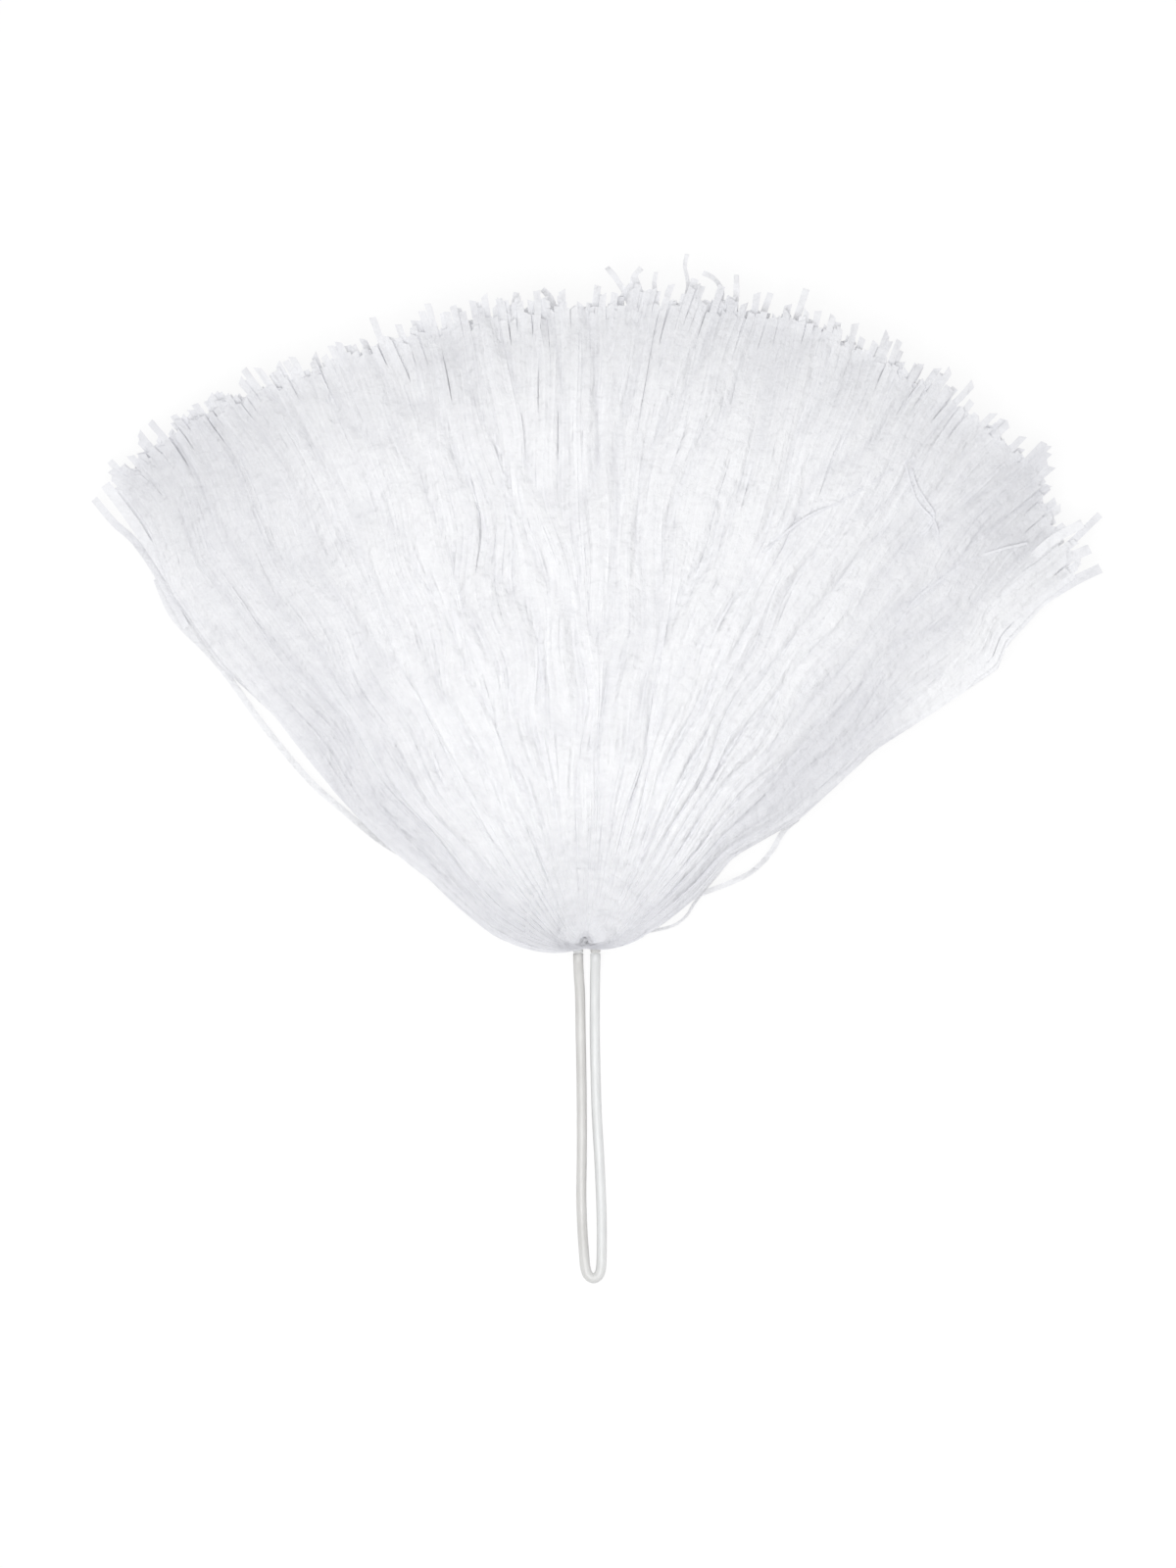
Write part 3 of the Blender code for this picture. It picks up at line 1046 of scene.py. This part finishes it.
    def flat_place(self, start: Table, radius: Table, offset: Table) -> Table:
        """Where each point of the strips lies in the flat sheet.

        Args:
            start: Each strip's place, of shape (strips, 1).
            radius: The distance from the neck.
            offset: -1 at a strip's left edge and 1 at its right one.

        Returns:
            Across and along the sheet in metres, of shape (strips, rings, 3, 2).
        """
        across = (start * self.strips * self.width / 2)[..., None] + offset * self.width / 2
        shape = (*radius.shape, 3)
        return np.stack([np.broadcast_to(across, shape), np.broadcast_to(radius[..., None], shape)], axis=-1)

    def looks(self, place: Table, radius: Table) -> Table:
        """How much painted shade, how thin and how loose each point is. Each strip and each lock has a grey
        of its own.

        Args:
            place: Where across the fan, of shape (strips, rings, 3).
            radius: The distance from the neck, of the same shape.

        Returns:
            The looks, each from 0 to 1, in one more dimension.
        """
        painted_shade_and_tone = self.painted_shade_and_tone
        share = radius / self.fan.rim(place)
        own = painted_shade_and_tone.strip * self.dice.uniform(0, 1, (self.strips, 1))
        own = own + painted_shade_and_tone.strip * self.dice.uniform(0, 1, (self.strips, 1))[self.lock]
        # painted shade at the rim and tips, by place and in the creases, over each strip's and lock's own
        # grey
        shade = painted_shade_and_tone.at_rim(share) + own[..., None] * ease(3 * share)
        shade = shade + painted_shade_and_tone.painted_shade_by_place(place, radius, self.fan.neck_radius)
        shade = shade + painted_shade_and_tone.crease * self.locks.painted_crease_shade(place, radius)
        return np.stack([np.clip(shade, 0, 1), painted_shade_and_tone.thin(share), self.loose(place, radius)], axis=-1)

    def loose(self, place: Table, radius: Table) -> Table:
        """How loose the paper is across, from 0 where it is gathered tight to 1."""
        pitch = 2 / self.strips * self.fan.span(place, radius)
        return np.clip((2 * pitch / self.width) ** 2, 0, 1)


def smooth_line(route: list[Vector], steps: int) -> list[Vector]:
    """Points on one smooth curve through a route, with its first and last stretch straight.

    Args:
        route: The route's own points.
        steps: How many points to make between two of them.

    Returns:
        The points.
    """
    line = [route[0]]
    for a, b, c, d in zip(route, route[1:], route[2:], route[3:]):
        for i in range(steps):
            t = i / steps
            bend = (2 * a - 5 * b + 4 * c - d) * t**2 + (3 * b - a - 3 * c + d) * t**3
            line.append(b + ((c - a) * t + bend) / 2)
    return [*line, route[-2], route[-1]]


@dataclass(frozen=True)
class Stray:
    """A strip that has come away from the others, on a route of its own measured from the neck.

    Its level is its height as a share of that of the paper under it, and turn is how far it twists, in
    radians. It starts in the paper and is at its level after one strip length divided by rise.
    """

    width: float
    route: Route
    level: float = 0.8
    turn: float = 0.5
    # painted shade on the strip, going from root_shade at its root to shade
    shade: float = 0.35
    thin: float = 0.5
    rise: float = 2.0
    steps: int = 10
    root_level: float = 0.85
    root_shade: float = 0.5
    turns: tuple[float, float] = (0.4, 1.3)

    def line(self) -> Table:
        """The points of the strip's middle, on one smooth curve."""
        points = [Vector((*point, 0)) for point in self.route]
        first, last = 2 * points[0] - points[1], 2 * points[-1] - points[-2]
        curve = smooth_line([first, *points, last], self.steps)[1:-1]
        return np.array([tuple(point)[:2] for point in curve])

    def ribbon(self, top: Fringe, dice: np.random.Generator) -> tuple[Table, Table, Table]:
        """The strip's surface.

        Args:
            top: The fringe that the strip comes away from.
            dice: The random numbers.

        Returns:
            The points of shape (1, rows, 3, 3), their places in the flat sheet, and their looks.
        """
        fan = top.fan
        x, y = self.line().T
        place, radius = fan.place_at(x, y)
        along = np.linspace(0, 1, len(x))
        way_out = ease(self.rise * along)
        z = top.height(place, np.minimum(radius, fan.rim(place)))
        z = z * mix(min(self.level, self.root_level), self.level, way_out)
        way = np.stack([np.gradient(x), np.gradient(y)], axis=-1)
        way /= np.linalg.norm(way, axis=1, keepdims=True)
        turn = self.turn * np.sin(2 * math.pi * (dice.uniform(*self.turns) * along + dice.random()))
        offset = np.array([-1.0, 0.0, 1.0])
        half = self.width / 2 * offset
        across = half * np.cos(turn)[:, None]
        lift = half * np.sin(turn)[:, None] + top.crease * self.width / top.width * (offset == 0)
        ribbon_x = fan.neck_x + x[:, None] + way[:, 1:] * across
        ribbon_y = fan.neck_y + y[:, None] - way[:, :1] * across
        grid = np.stack([ribbon_x, ribbon_y, np.maximum(z[:, None] + lift, fan.tissue / 2)], axis=-1)
        flat = np.stack(np.meshgrid(half, radius), axis=-1)
        shade = np.repeat(mix(self.root_shade, self.shade, way_out)[:, None], 3, axis=1)
        looks = np.stack([shade, np.full_like(shade, self.thin), np.zeros_like(shade)], axis=-1)
        return grid[None], flat[None], looks[None]


def corner_stray(width: float, level: float, shade: float, route: Route) -> Stray:
    """A strip that lies flat at a corner of the rim, with the painted shade given."""
    return Stray(width, route, level=level, turn=0.2, shade=shade, thin=0.0)


def face_stray(width: float, route: Route) -> Stray:
    """A thin strip that lies on the face of the fan, painted dark with painted shade for the shadow of its
    curled edge.
    """
    return Stray(width, route, level=1.07, turn=0.0, shade=0.8, rise=9.0)


RIM_STRAYS = (
    Stray(0.0024, ((0.0198, 0.2328), (0.0171, 0.2456), (0.0124, 0.2541), (0.0085, 0.2588))),
    Stray(0.0024, ((0.0167, 0.2328), (0.0178, 0.2444), (0.0190, 0.2541), (0.0221, 0.2584)), level=0.9),
    Stray(0.0030, ((0.0097, 0.2309), (0.0128, 0.2433), (0.0167, 0.2495), (0.0206, 0.2541))),
    Stray(0.0030, ((0.0291, 0.2309), (0.0252, 0.2425), (0.0213, 0.2495), (0.0194, 0.2545)), level=0.9),
    Stray(0.0018, ((0.0283, 0.2309), (0.0283, 0.2437), (0.0272, 0.2522), (0.0279, 0.2572))),
    Stray(0.0018, ((0.0361, 0.2309), (0.0384, 0.2437), (0.0404, 0.2514), (0.0392, 0.2596), (0.0400, 0.2642))),
    Stray(0.0031, ((0.0369, 0.2328), (0.0400, 0.2437), (0.0431, 0.2541)), level=0.9, turn=0.2),
    Stray(
        0.0022,
        (
            *((0.0485, 0.2289), (0.0508, 0.2386), (0.0532, 0.2460)),
            *((0.0535, 0.2506), (0.0504, 0.2549), (0.0462, 0.2569)),
        ),
    ),
    Stray(0.0024, ((0.0617, 0.2250), (0.0605, 0.2336), (0.0590, 0.2406), (0.0594, 0.2483), (0.0594, 0.2561))),
    Stray(0.0025, ((0.0563, 0.2309), (0.0555, 0.2386), (0.0555, 0.2460)), level=0.9, turn=0.2),
    Stray(0.0025, ((-0.0299, 0.2347), (-0.0279, 0.2437), (-0.0268, 0.2491)), turn=0.2),
    Stray(0.0026, ((-0.0105, 0.2328), (-0.0116, 0.2409), (-0.0136, 0.2468), (-0.0167, 0.2506))),
    Stray(0.0028, ((0.0811, 0.2328), (0.0846, 0.2437), (0.0869, 0.2506)), turn=0.2),
    Stray(0.0026, ((0.0671, 0.2309), (0.0698, 0.2402), (0.0729, 0.2491)), turn=0.2),
    Stray(0.0036, ((0.1719, 0.1688), (0.1758, 0.1777), (0.1796, 0.1893)), turn=0.2),
    corner_stray(0.0028, 0.97, 0.8, ((0.1738, 0.1370), (0.1900, 0.1500), (0.2030, 0.1625))),
    corner_stray(0.0040, 0.97, 0.6, ((0.1738, 0.1350), (0.1890, 0.1445), (0.1990, 0.1490))),
    corner_stray(0.0040, 0.97, 0.7, ((0.1700, 0.1222), (0.1855, 0.1319), (0.1945, 0.1372), (0.2035, 0.1415))),
    corner_stray(0.0038, 0.95, 0.2, ((0.1700, 0.1390), (0.1830, 0.1515), (0.1960, 0.1590))),
    corner_stray(
        *(0.0030, 0.6, 0.8),
        ((-0.1579, 0.1183), (-0.1696, 0.1397), (-0.1781, 0.1521), (-0.1866, 0.1599), (-0.1944, 0.1692)),
    ),
    corner_stray(
        0.0040, 0.8, 0.5, ((-0.1610, 0.1330), (-0.1755, 0.1552), (-0.1822, 0.1649), (-0.1895, 0.1746))
    ),
)
SIDE_STRAYS = (
    Stray(
        0.0026,
        (
            *((-0.1703, 0.1377), (-0.1655, 0.1261), (-0.1597, 0.1183), (-0.1490, 0.1077)),
            *((-0.1403, 0.0970), (-0.1306, 0.0834), (-0.1199, 0.0698), (-0.1083, 0.0566)),
            *((-0.0978, 0.0473), (-0.0823, 0.0345), (-0.0700, 0.0270)),
        ),
        level=0.3,
        turn=0.3,
        shade=0.0,
        thin=1.0,
    ),
    Stray(
        0.0045,
        ((-0.1676, 0.1397), (-0.1626, 0.1269), (-0.1521, 0.1152), (-0.1385, 0.0989)),
        level=0.4,
        turn=0.3,
    ),
    Stray(
        0.0022,
        (
            *((0.0400, 0.0097), (0.0462, 0.0128), (0.0574, 0.0171), (0.0663, 0.0217)),
            *((0.0733, 0.0287), (0.0788, 0.0376), (0.0846, 0.0427)),
        ),
        level=0.4,
    ),
    Stray(
        0.0012,
        (
            *((0.0167, -0.0047), (0.0248, -0.0023), (0.0345, 0.0000)),
            *((0.0400, 0.0039), (0.0435, 0.0093), (0.0485, 0.0155)),
        ),
        level=0.4,
    ),
    Stray(
        0.0018,
        ((0.0446, 0.0116), (0.0512, 0.0194), (0.0574, 0.0268), (0.0640, 0.0322), (0.0700, 0.0410)),
        level=0.5,
    ),
)
FACE_STRAYS = (
    face_stray(
        0.0008,
        (
            *((0.1273, 0.1843), (0.1292, 0.1746), (0.1331, 0.1680)),
            *((0.1370, 0.1618), (0.1342, 0.1560), (0.1311, 0.1540)),
        ),
    ),
    face_stray(0.0008, ((0.1234, 0.1901), (0.1292, 0.1688), (0.1370, 0.1591), (0.1393, 0.1486))),
    face_stray(
        0.0010,
        (
            *((0.1176, 0.1106), (0.1292, 0.1280), (0.1389, 0.1358), (0.1467, 0.1416)),
            *((0.1544, 0.1455), (0.1641, 0.1486), (0.1738, 0.1509)),
        ),
    ),
    face_stray(
        0.0010, ((0.0632, 0.1416), (0.0846, 0.1591), (0.1001, 0.1668), (0.1176, 0.1777), (0.1292, 0.1843))
    ),
)


@dataclass
class TissueSheet:
    """One sheet of tissue, folded over the noose: its gathered middle and its two fringes."""

    fan: Fan
    locks: Locks
    number: int
    strays: tuple[Stray, ...] = ()
    fold_steps: int = 10
    fold_length: float = 0.015
    levels: tuple[float, ...] = (0.0235, 0.021, 0.0185, 0.0162, 0.014, 0.0122, 0.0105, 0.009)
    columns_per_strip: int = 3
    pinch: float = 0.16
    closing: float = 0.0022
    closing_rate: float = 1.45
    overlap: float = 1.02
    cord_top: float = 0.0092
    tuck_depth: float = 0.0072
    tuck_rise: float = 0.0025
    tuck_reach: float = 0.014
    lower_edge: float = 0.0095

    def __post_init__(self) -> None:
        """Makes the two fringes."""
        self.lower = Fringe(self.fan, self.locks, self.fan.sheets - 1 - self.number)
        self.upper = Fringe(self.fan, self.locks, self.fan.sheets + self.number)
        self.place = np.linspace(-1, 1, self.columns_per_strip * self.upper.strips + 1)

    def closed_angle(self, angle: Table, share: float) -> Table:
        """Draws the two edges of the sheet together over the cord.

        Args:
            angle: The direction of each place from the neck.
            share: How far they are closed, from 0 to 1.

        Returns:
            The directions.
        """
        short = math.pi * self.overlap - np.abs(angle[[0, -1]])
        edge = np.where(self.place < 0, -short[0], short[1])
        return angle + share * edge * np.abs(self.place) ** 3

    def level_row(self, fringe: Fringe, radius: float) -> Table:
        """A row of points across the gathered middle, over the noose or under it.

        Args:
            fringe: The fringe on that side.
            radius: The distance from the neck.

        Returns:
            The points of shape (columns, 3).
        """
        fan = self.fan
        far = np.full_like(self.place, radius)
        angle = fan.angle(self.place, far)
        if fringe is self.upper:
            angle = self.closed_angle(angle, math.exp(-(radius - fan.neck_radius) / self.closing))
        z = np.maximum(fringe.height(self.place, far), fan.tissue / 2)
        return self.tuck(np.stack([radius * np.sin(angle), radius * np.cos(angle), z], axis=-1))

    def fold_row(self, turn: float) -> Table:
        """A row of points across the fold.

        Args:
            turn: Where round the noose, from a quarter turn under it to a quarter turn over it.

        Returns:
            The points of shape (columns, 3).
        """
        fan = self.fan
        near = np.full_like(self.place, fan.neck_radius)
        angle = fan.angle(self.place, near)
        lower = fan.neck_height - self.lower.height(self.place, near)
        upper = self.upper.height(self.place, near) - fan.neck_height
        size = mix(lower, upper, (1 + math.sin(turn)) / 2)
        pinch = self.pinch * self.number / (fan.sheets - 1)
        out = np.maximum(fan.neck_radius - size * (1 + pinch) * math.cos(turn), 0.0001)
        angle = self.closed_angle(angle, min(max(self.closing_rate * math.sin(turn), 0.0), 1.0))
        z = fan.neck_height + size * math.sin(turn)
        return self.tuck(np.stack([out * np.sin(angle), out * np.cos(angle), z], axis=-1))

    def tuck(self, points: Table) -> Table:
        """Lays the paper above the cord down over it, to the sheet's lower edge.

        Args:
            points: Points measured from the neck.

        Returns:
            The points in the part's frame.
        """
        x, y, z = np.moveaxis(points, -1, 0)
        above = ease((z - self.cord_top) / self.tuck_rise)
        near = np.exp(-(x**2 + y**2) / self.tuck_reach**2)
        room = np.clip(1 + y / self.lower_edge, 0, 1)
        lower = y - self.tuck_depth * above * near * room
        return np.stack([self.fan.neck_x + x, self.fan.neck_y + lower, z], axis=-1)

    def middle(self) -> Table:
        """The uncut middle as rows of points, from the lower fringe round the fold to the upper one."""
        turns = np.radians(np.linspace(-90, 90, self.fold_steps + 1))
        rows = [self.level_row(self.lower, radius) for radius in self.levels]
        rows += [self.fold_row(turn) for turn in turns]
        rows += [self.level_row(self.upper, radius) for radius in reversed(self.levels)]
        return np.stack(rows)

    def flat_middle(self) -> Table:
        """Where the points of the uncut middle lie in the flat sheet."""
        across = self.place * self.upper.strips * self.upper.width / 2
        fold = np.linspace(self.fold_length / 2, -self.fold_length / 2, self.fold_steps + 1)
        along = np.concatenate([self.levels, fold, [-far for far in reversed(self.levels)]])
        return np.stack(np.meshgrid(across, along), axis=-1)

    def looks(self) -> Table:
        """The looks of the points of the uncut middle."""
        near = [self.fan.neck_radius] * (self.fold_steps + 1)
        place, radius = np.meshgrid(self.place, [*self.levels, *near, *reversed(self.levels)])
        # painted shade on the gathered middle, darker near the neck and at the sides
        shade = self.upper.painted_shade_and_tone.painted_shade_by_place(place, radius, self.fan.neck_radius)
        return np.stack([shade, np.zeros_like(shade), self.upper.loose(place, radius)], axis=-1)

    def build(self, material: bpy.types.Material) -> bpy.types.Object:
        """Makes the sheet.

        Args:
            material: The tissue.

        Returns:
            The sheet's object.
        """
        made = Ribbons()
        made.add(self.middle()[None], self.flat_middle()[None], self.looks()[None])
        for fringe in (self.lower, self.upper):
            made.add(*fringe.ribbons())
        dice = np.random.default_rng(self.number)
        for stray in self.strays:
            made.add(*stray.ribbon(self.upper, dice))
        sheet = made.mesh(f"fringed_tissue_{self.number + 1}", material)
        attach(sheet, "root")
        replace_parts(sheet, f"tissue_sheet_{self.number + 1}")
        return sheet


@dataclass
class Cord:
    """The plastic cord: its free loop, and the noose and knot that hold the sheets."""

    fan: Fan
    diameter: float = 0.0040
    sides: int = 24
    gap: float = 0.0003
    exit_y: float = -0.0108
    straight: float = 0.0025
    soft_edge: float = 0.06
    streak_length: float = 0.1
    left_leg: float = 0.42
    leg_change: float = 0.16
    noose_end: float = math.radians(126)
    noose_steps: int = 16
    knot_turn: float = 0.0019
    knot_turns: int = 2
    knot_half: float = 0.55
    knot_steps: int = 32
    tail_spread: float = 0.0046
    tail_past_knot: float = 0.0085
    tail_rise: float = 0.0012
    tail_steps: int = 6
    table_gap: float = 0.00005
    near_lift: float = 0.0004
    half_down: float = 0.45
    loop_length: float = 0.266

    @property
    def neck(self) -> Vector:
        """The neck, on the table."""
        return Vector((self.fan.neck_x, self.fan.neck_y, 0))

    @property
    def lying(self) -> float:
        """The height of the cord's middle where it lies on the table."""
        return self.diameter / 2 + self.table_gap

    def loop_route(self) -> list[Vector]:
        """The route of the free loop, from its left exit over the table and back to its right exit."""
        low, high = self.lying, self.fan.neck_height
        bend = mix(low, high, self.half_down)
        near = low + self.near_lift
        route = (
            (-0.0027, self.exit_y, high),
            (-0.0027, self.exit_y - self.straight, high),
            (-0.0025, -0.0190, bend),
            (-0.0020, -0.0275, near),
            (-0.0018, -0.0400, low),
            (-0.0015, -0.0560, low),
            (-0.0013, -0.0740, low),
            (-0.0013, -0.0920, low),
            (-0.0015, -0.1070, low),
            (-0.0011, -0.1200, low),
            (-0.0003, -0.1320, low),
            (0.0002, -0.1363, low),
            (0.0013, -0.1392, low),
            (0.0033, -0.1403, low),
            (0.0053, -0.1392, low),
            (0.0063, -0.1363, low),
            (0.0066, -0.1300, low),
            (0.0066, -0.1180, low),
            (0.0062, -0.1050, low),
            (0.0055, -0.0900, low),
            (0.0046, -0.0740, low),
            (0.0039, -0.0460, low),
            (0.0039, -0.0275, near),
            (0.0040, -0.0190, bend),
            (0.0041, self.exit_y - self.straight, high),
            (0.0041, self.exit_y, high),
        )
        return [self.neck + Vector(point) for point in route]

    def tube(self, line: list[Vector]) -> tuple[list, list, list, list]:
        """A round tube along a line, its two ends closed with a slightly rounded edge.

        Args:
            line: The points of its middle.

        Returns:
            Its points, its faces, the place along and round of each face's corners, and which leg of
            the loop each point is on, from 0 to 1.
        """
        first, last = (line[1] - line[0]).normalized(), (line[-1] - line[-2]).normalized()
        soft = self.diameter * self.soft_edge
        rows = [line[0], line[0] + first * soft, *line[1:-1], line[-1] - last * soft, line[-1]]
        radii = [self.diameter / 2 - soft, *[self.diameter / 2] * (len(rows) - 2), self.diameter / 2 - soft]
        heading = [(b - a).normalized() for a, b in zip(rows, rows[1:])]
        ways = [heading[0], *[(a + b).normalized() for a, b in zip(heading, heading[1:])], heading[-1]]
        side = ways[0].orthogonal().normalized()
        points, faces, places, lengths = [], [], [], [0.0]
        for i, (point, way, radius) in enumerate(zip(rows, ways, radii)):
            side = (side - way * side.dot(way)).normalized()
            up = way.cross(side)
            if i:
                lengths.append(lengths[-1] + (point - rows[i - 1]).length)
            for k in range(self.sides):
                turn = 2 * math.pi * k / self.sides
                points.append(point + (side * math.cos(turn) + up * math.sin(turn)) * radius)
        for i, (start, end) in enumerate(zip(lengths, lengths[1:])):
            low, high = start / self.streak_length, end / self.streak_length
            for k in range(self.sides):
                a, b = i * self.sides + k, i * self.sides + (k + 1) % self.sides
                before, after = k / self.sides, (k + 1) / self.sides
                faces.append((a, b, b + self.sides, a + self.sides))
                places.append(((low, before), (low, after), (high, after), (high, before)))
        faces.append(tuple(reversed(range(self.sides))))
        faces.append(tuple(range(len(points) - self.sides, len(points))))
        places += [tuple((0.0, k / self.sides) for k in range(self.sides))] * 2
        shares = [float(ease((run / lengths[-1] - self.left_leg) / self.leg_change)) for run in lengths]
        return points, faces, places, [share for share in shares for _ in range(self.sides)]

    def mesh(self, name: str, tubes: list[tuple], material: bpy.types.Material) -> bpy.types.Object:
        """Makes one object of several tubes.

        Args:
            name: The object's name.
            tubes: The tubes.
            material: The cord's plastic.

        Returns:
            The object.
        """
        points, faces, places, legs = [], [], [], []
        for tube_points, tube_faces, tube_places, tube_legs in tubes:
            base = len(points)
            points += tube_points
            faces += [tuple(i + base for i in face) for face in tube_faces]
            places += tube_places
            legs += tube_legs
        data = bpy.data.meshes.new(name)
        data.from_pydata(points, [], faces)
        data.attributes.new(Look.LEG.value, "FLOAT", "POINT").data.foreach_set("value", legs)
        flat = [value for face in places for corner in face for value in corner]
        data.uv_layers.new(name=CORD_MAP).data.foreach_set("uv", flat)
        data.shade_smooth()
        data.materials.append(material)
        made = placed(name, data)
        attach(made, "root")
        return made

    def noose(self) -> list[Vector]:
        """The middle of the noose, from the right exit round the sheets' middle to the left one."""
        centre = self.neck + Vector((0, 0, self.fan.neck_height))
        ring = []
        for i in range(self.noose_steps + 1):
            turn = mix(self.noose_end, -self.noose_end, i / self.noose_steps)
            ring.append(centre + self.fan.neck_radius * Vector((math.sin(turn), math.cos(turn), 0)))
        route = self.loop_route()
        right = [route[-1] + Vector((0, self.gap + step, 0)) for step in (0, self.straight)]
        left = [route[0] + Vector((0, self.gap + step, 0)) for step in (self.straight, 0)]
        return smooth_line([*right, *ring, *left], 4)

    def knot_lines(self) -> list[list[Vector]]:
        """The middles of the knot's turns and of its two tails.

        Returns:
            The three lines.
        """
        fan, neck = self.fan, self.neck
        height = float(fan.height(fan.sheets, np.array(0.0), np.array(fan.knot_place)))
        height -= float(fan.core(np.array(0.0), np.array(fan.knot_place)))
        middle = neck + Vector((0, fan.knot_place, height))
        helix = []
        for i in range(self.knot_steps + 1):
            turn = 2 * math.pi * self.knot_turns * i / self.knot_steps
            across = mix(-1, 1, i / self.knot_steps) * self.diameter * self.knot_half
            round_it = Vector((across, math.cos(turn) * self.knot_turn, math.sin(turn) * self.knot_turn))
            helix.append(middle + round_it)
        lines = [helix]
        for side in (-1, 1):
            aside = side * self.tail_spread / 2
            root = neck + Vector((aside, fan.neck_radius, fan.neck_height))
            end = neck + Vector((aside, fan.knot_place + self.tail_past_knot, height + self.tail_rise))
            lines.append([root.lerp(end, i / self.tail_steps) for i in range(self.tail_steps + 1)])
        return lines

    def build_knot(self, material: bpy.types.Material) -> bpy.types.Object:
        """Makes the noose round the sheets' middle and the knot that closes it.

        Args:
            material: The cord's plastic.

        Returns:
            The object.
        """
        tubes = [self.tube(line) for line in (self.noose(), *self.knot_lines())]
        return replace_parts(self.mesh("loop_noose_and_knot", tubes, material), "loop_knot")

    def build_loop(self, material: bpy.types.Material) -> bpy.types.Object:
        """Makes the free loop.

        Args:
            material: The cord's plastic.

        Returns:
            The object.
        """
        route = self.loop_route()
        line = smooth_line(route, 6)
        loop = self.mesh("hand_loop_cord", [self.tube(line)], material)
        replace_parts(loop, "hand_loop")
        return loop


@dataclass(frozen=True)
class Studio:
    """The white table, the soft light and the camera straight above."""

    neck_x: float
    neck_y: float
    right_of_neck: float = 0.00116
    above_neck: float = 0.0563
    frame_height: float = 0.6208
    lens: float = 100.0
    sensor: float = 36.0
    farthest: float = 10.0
    subject_height: float = 0.010
    table_size: float = 6.0
    lamp_height: float = 1.15
    lamp_left: float = 0.08
    lamp_near: float = 0.15
    aim_near: float = 0.02
    lamp_size: float = 0.9
    lamp_power: float = 9.9
    world_strength: float = 0.52

    @property
    def centre(self) -> tuple[float, float]:
        """The X and Y of the middle of the picture."""
        return self.neck_x + self.right_of_neck, self.neck_y + self.above_neck

    def build_camera(self) -> None:
        """Makes the camera, which looks straight down with the fringe's end at the top."""
        data = bpy.data.cameras.new("camera")
        data.lens = self.lens
        data.sensor_width = self.sensor
        data.clip_end = self.farthest
        made = placed("camera", data)
        made.location = (*self.centre, self.frame_height * self.lens / self.sensor + self.subject_height)
        bpy.context.scene.camera = made

    def build_table(self, material: bpy.types.Material) -> None:
        """Makes the table.

        Args:
            material: The table's finish.
        """
        half = self.table_size / 2
        data = bpy.data.meshes.new("table")
        board = [(-half, -half, 0), (half, -half, 0), (half, half, 0), (-half, half, 0)]
        data.from_pydata(board, [], [(0, 1, 2, 3)])
        data.materials.append(material)
        placed("table", data)

    def build_light(self) -> None:
        """Makes the soft box overhead and the even light all round."""
        lamp = bpy.data.lights.new("soft_box", "AREA")
        lamp.shape = "DISK"
        lamp.size = self.lamp_size
        lamp.energy = self.lamp_power
        made = placed("soft_box", lamp)
        x, y = self.centre
        made.location = (x - self.lamp_left, y - self.lamp_near, self.lamp_height)
        aim = Vector((x, y - self.aim_near, 0)) - made.location
        made.rotation_euler = aim.to_track_quat("-Z", "Y").to_euler()
        world = bpy.data.worlds.new("studio")
        world.use_nodes = True
        ground = world.node_tree.nodes["Background"]
        ground.inputs["Color"].default_value = (1, 1, 1, 1)
        ground.inputs["Strength"].default_value = self.world_strength
        bpy.context.scene.world = world
        bpy.context.scene.view_settings.view_transform = "Standard"


def corners(box: tuple[Vector, Vector]) -> list[list[float]]:
    """A box's two corners as plain numbers."""
    return [list(corner) for corner in box]


def main() -> None:
    """Builds the pom pom, the table, the light and the camera."""
    logging.basicConfig(level=logging.INFO, format="%(name)s: %(message)s")
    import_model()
    low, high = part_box("loop_knot")
    fan = Fan((low.x + high.x) / 2, low.y - Cord.exit_y - Cord.gap)
    studio = Studio(fan.neck_x, fan.neck_y)
    studio.build_camera()
    cord = Cord(fan)
    plastic = CordFinish().build()
    knot = cord.build_knot(plastic)
    LOG.info("%s: the noose round the sheets and its knot", knot.name)
    loop = cord.build_loop(plastic)
    LOG.info("%s: the free loop", loop.name)
    tissue = TissueFinish().build()
    locks = Locks(fan)
    top, next_to_top = fan.sheets - 1, fan.sheets - 2
    strays = {top: (*RIM_STRAYS[::2], *FACE_STRAYS), next_to_top: (*RIM_STRAYS[1::2], *SIDE_STRAYS)}
    for number in range(fan.sheets):
        sheet = TissueSheet(fan, locks, number, strays.get(number, ())).build(tissue)
        LOG.info("%s: %d faces", sheet.name, len(sheet.data.polygons))
    studio.build_table(TableFinish().build())
    studio.build_light()


if __name__ == "__main__":
    main()
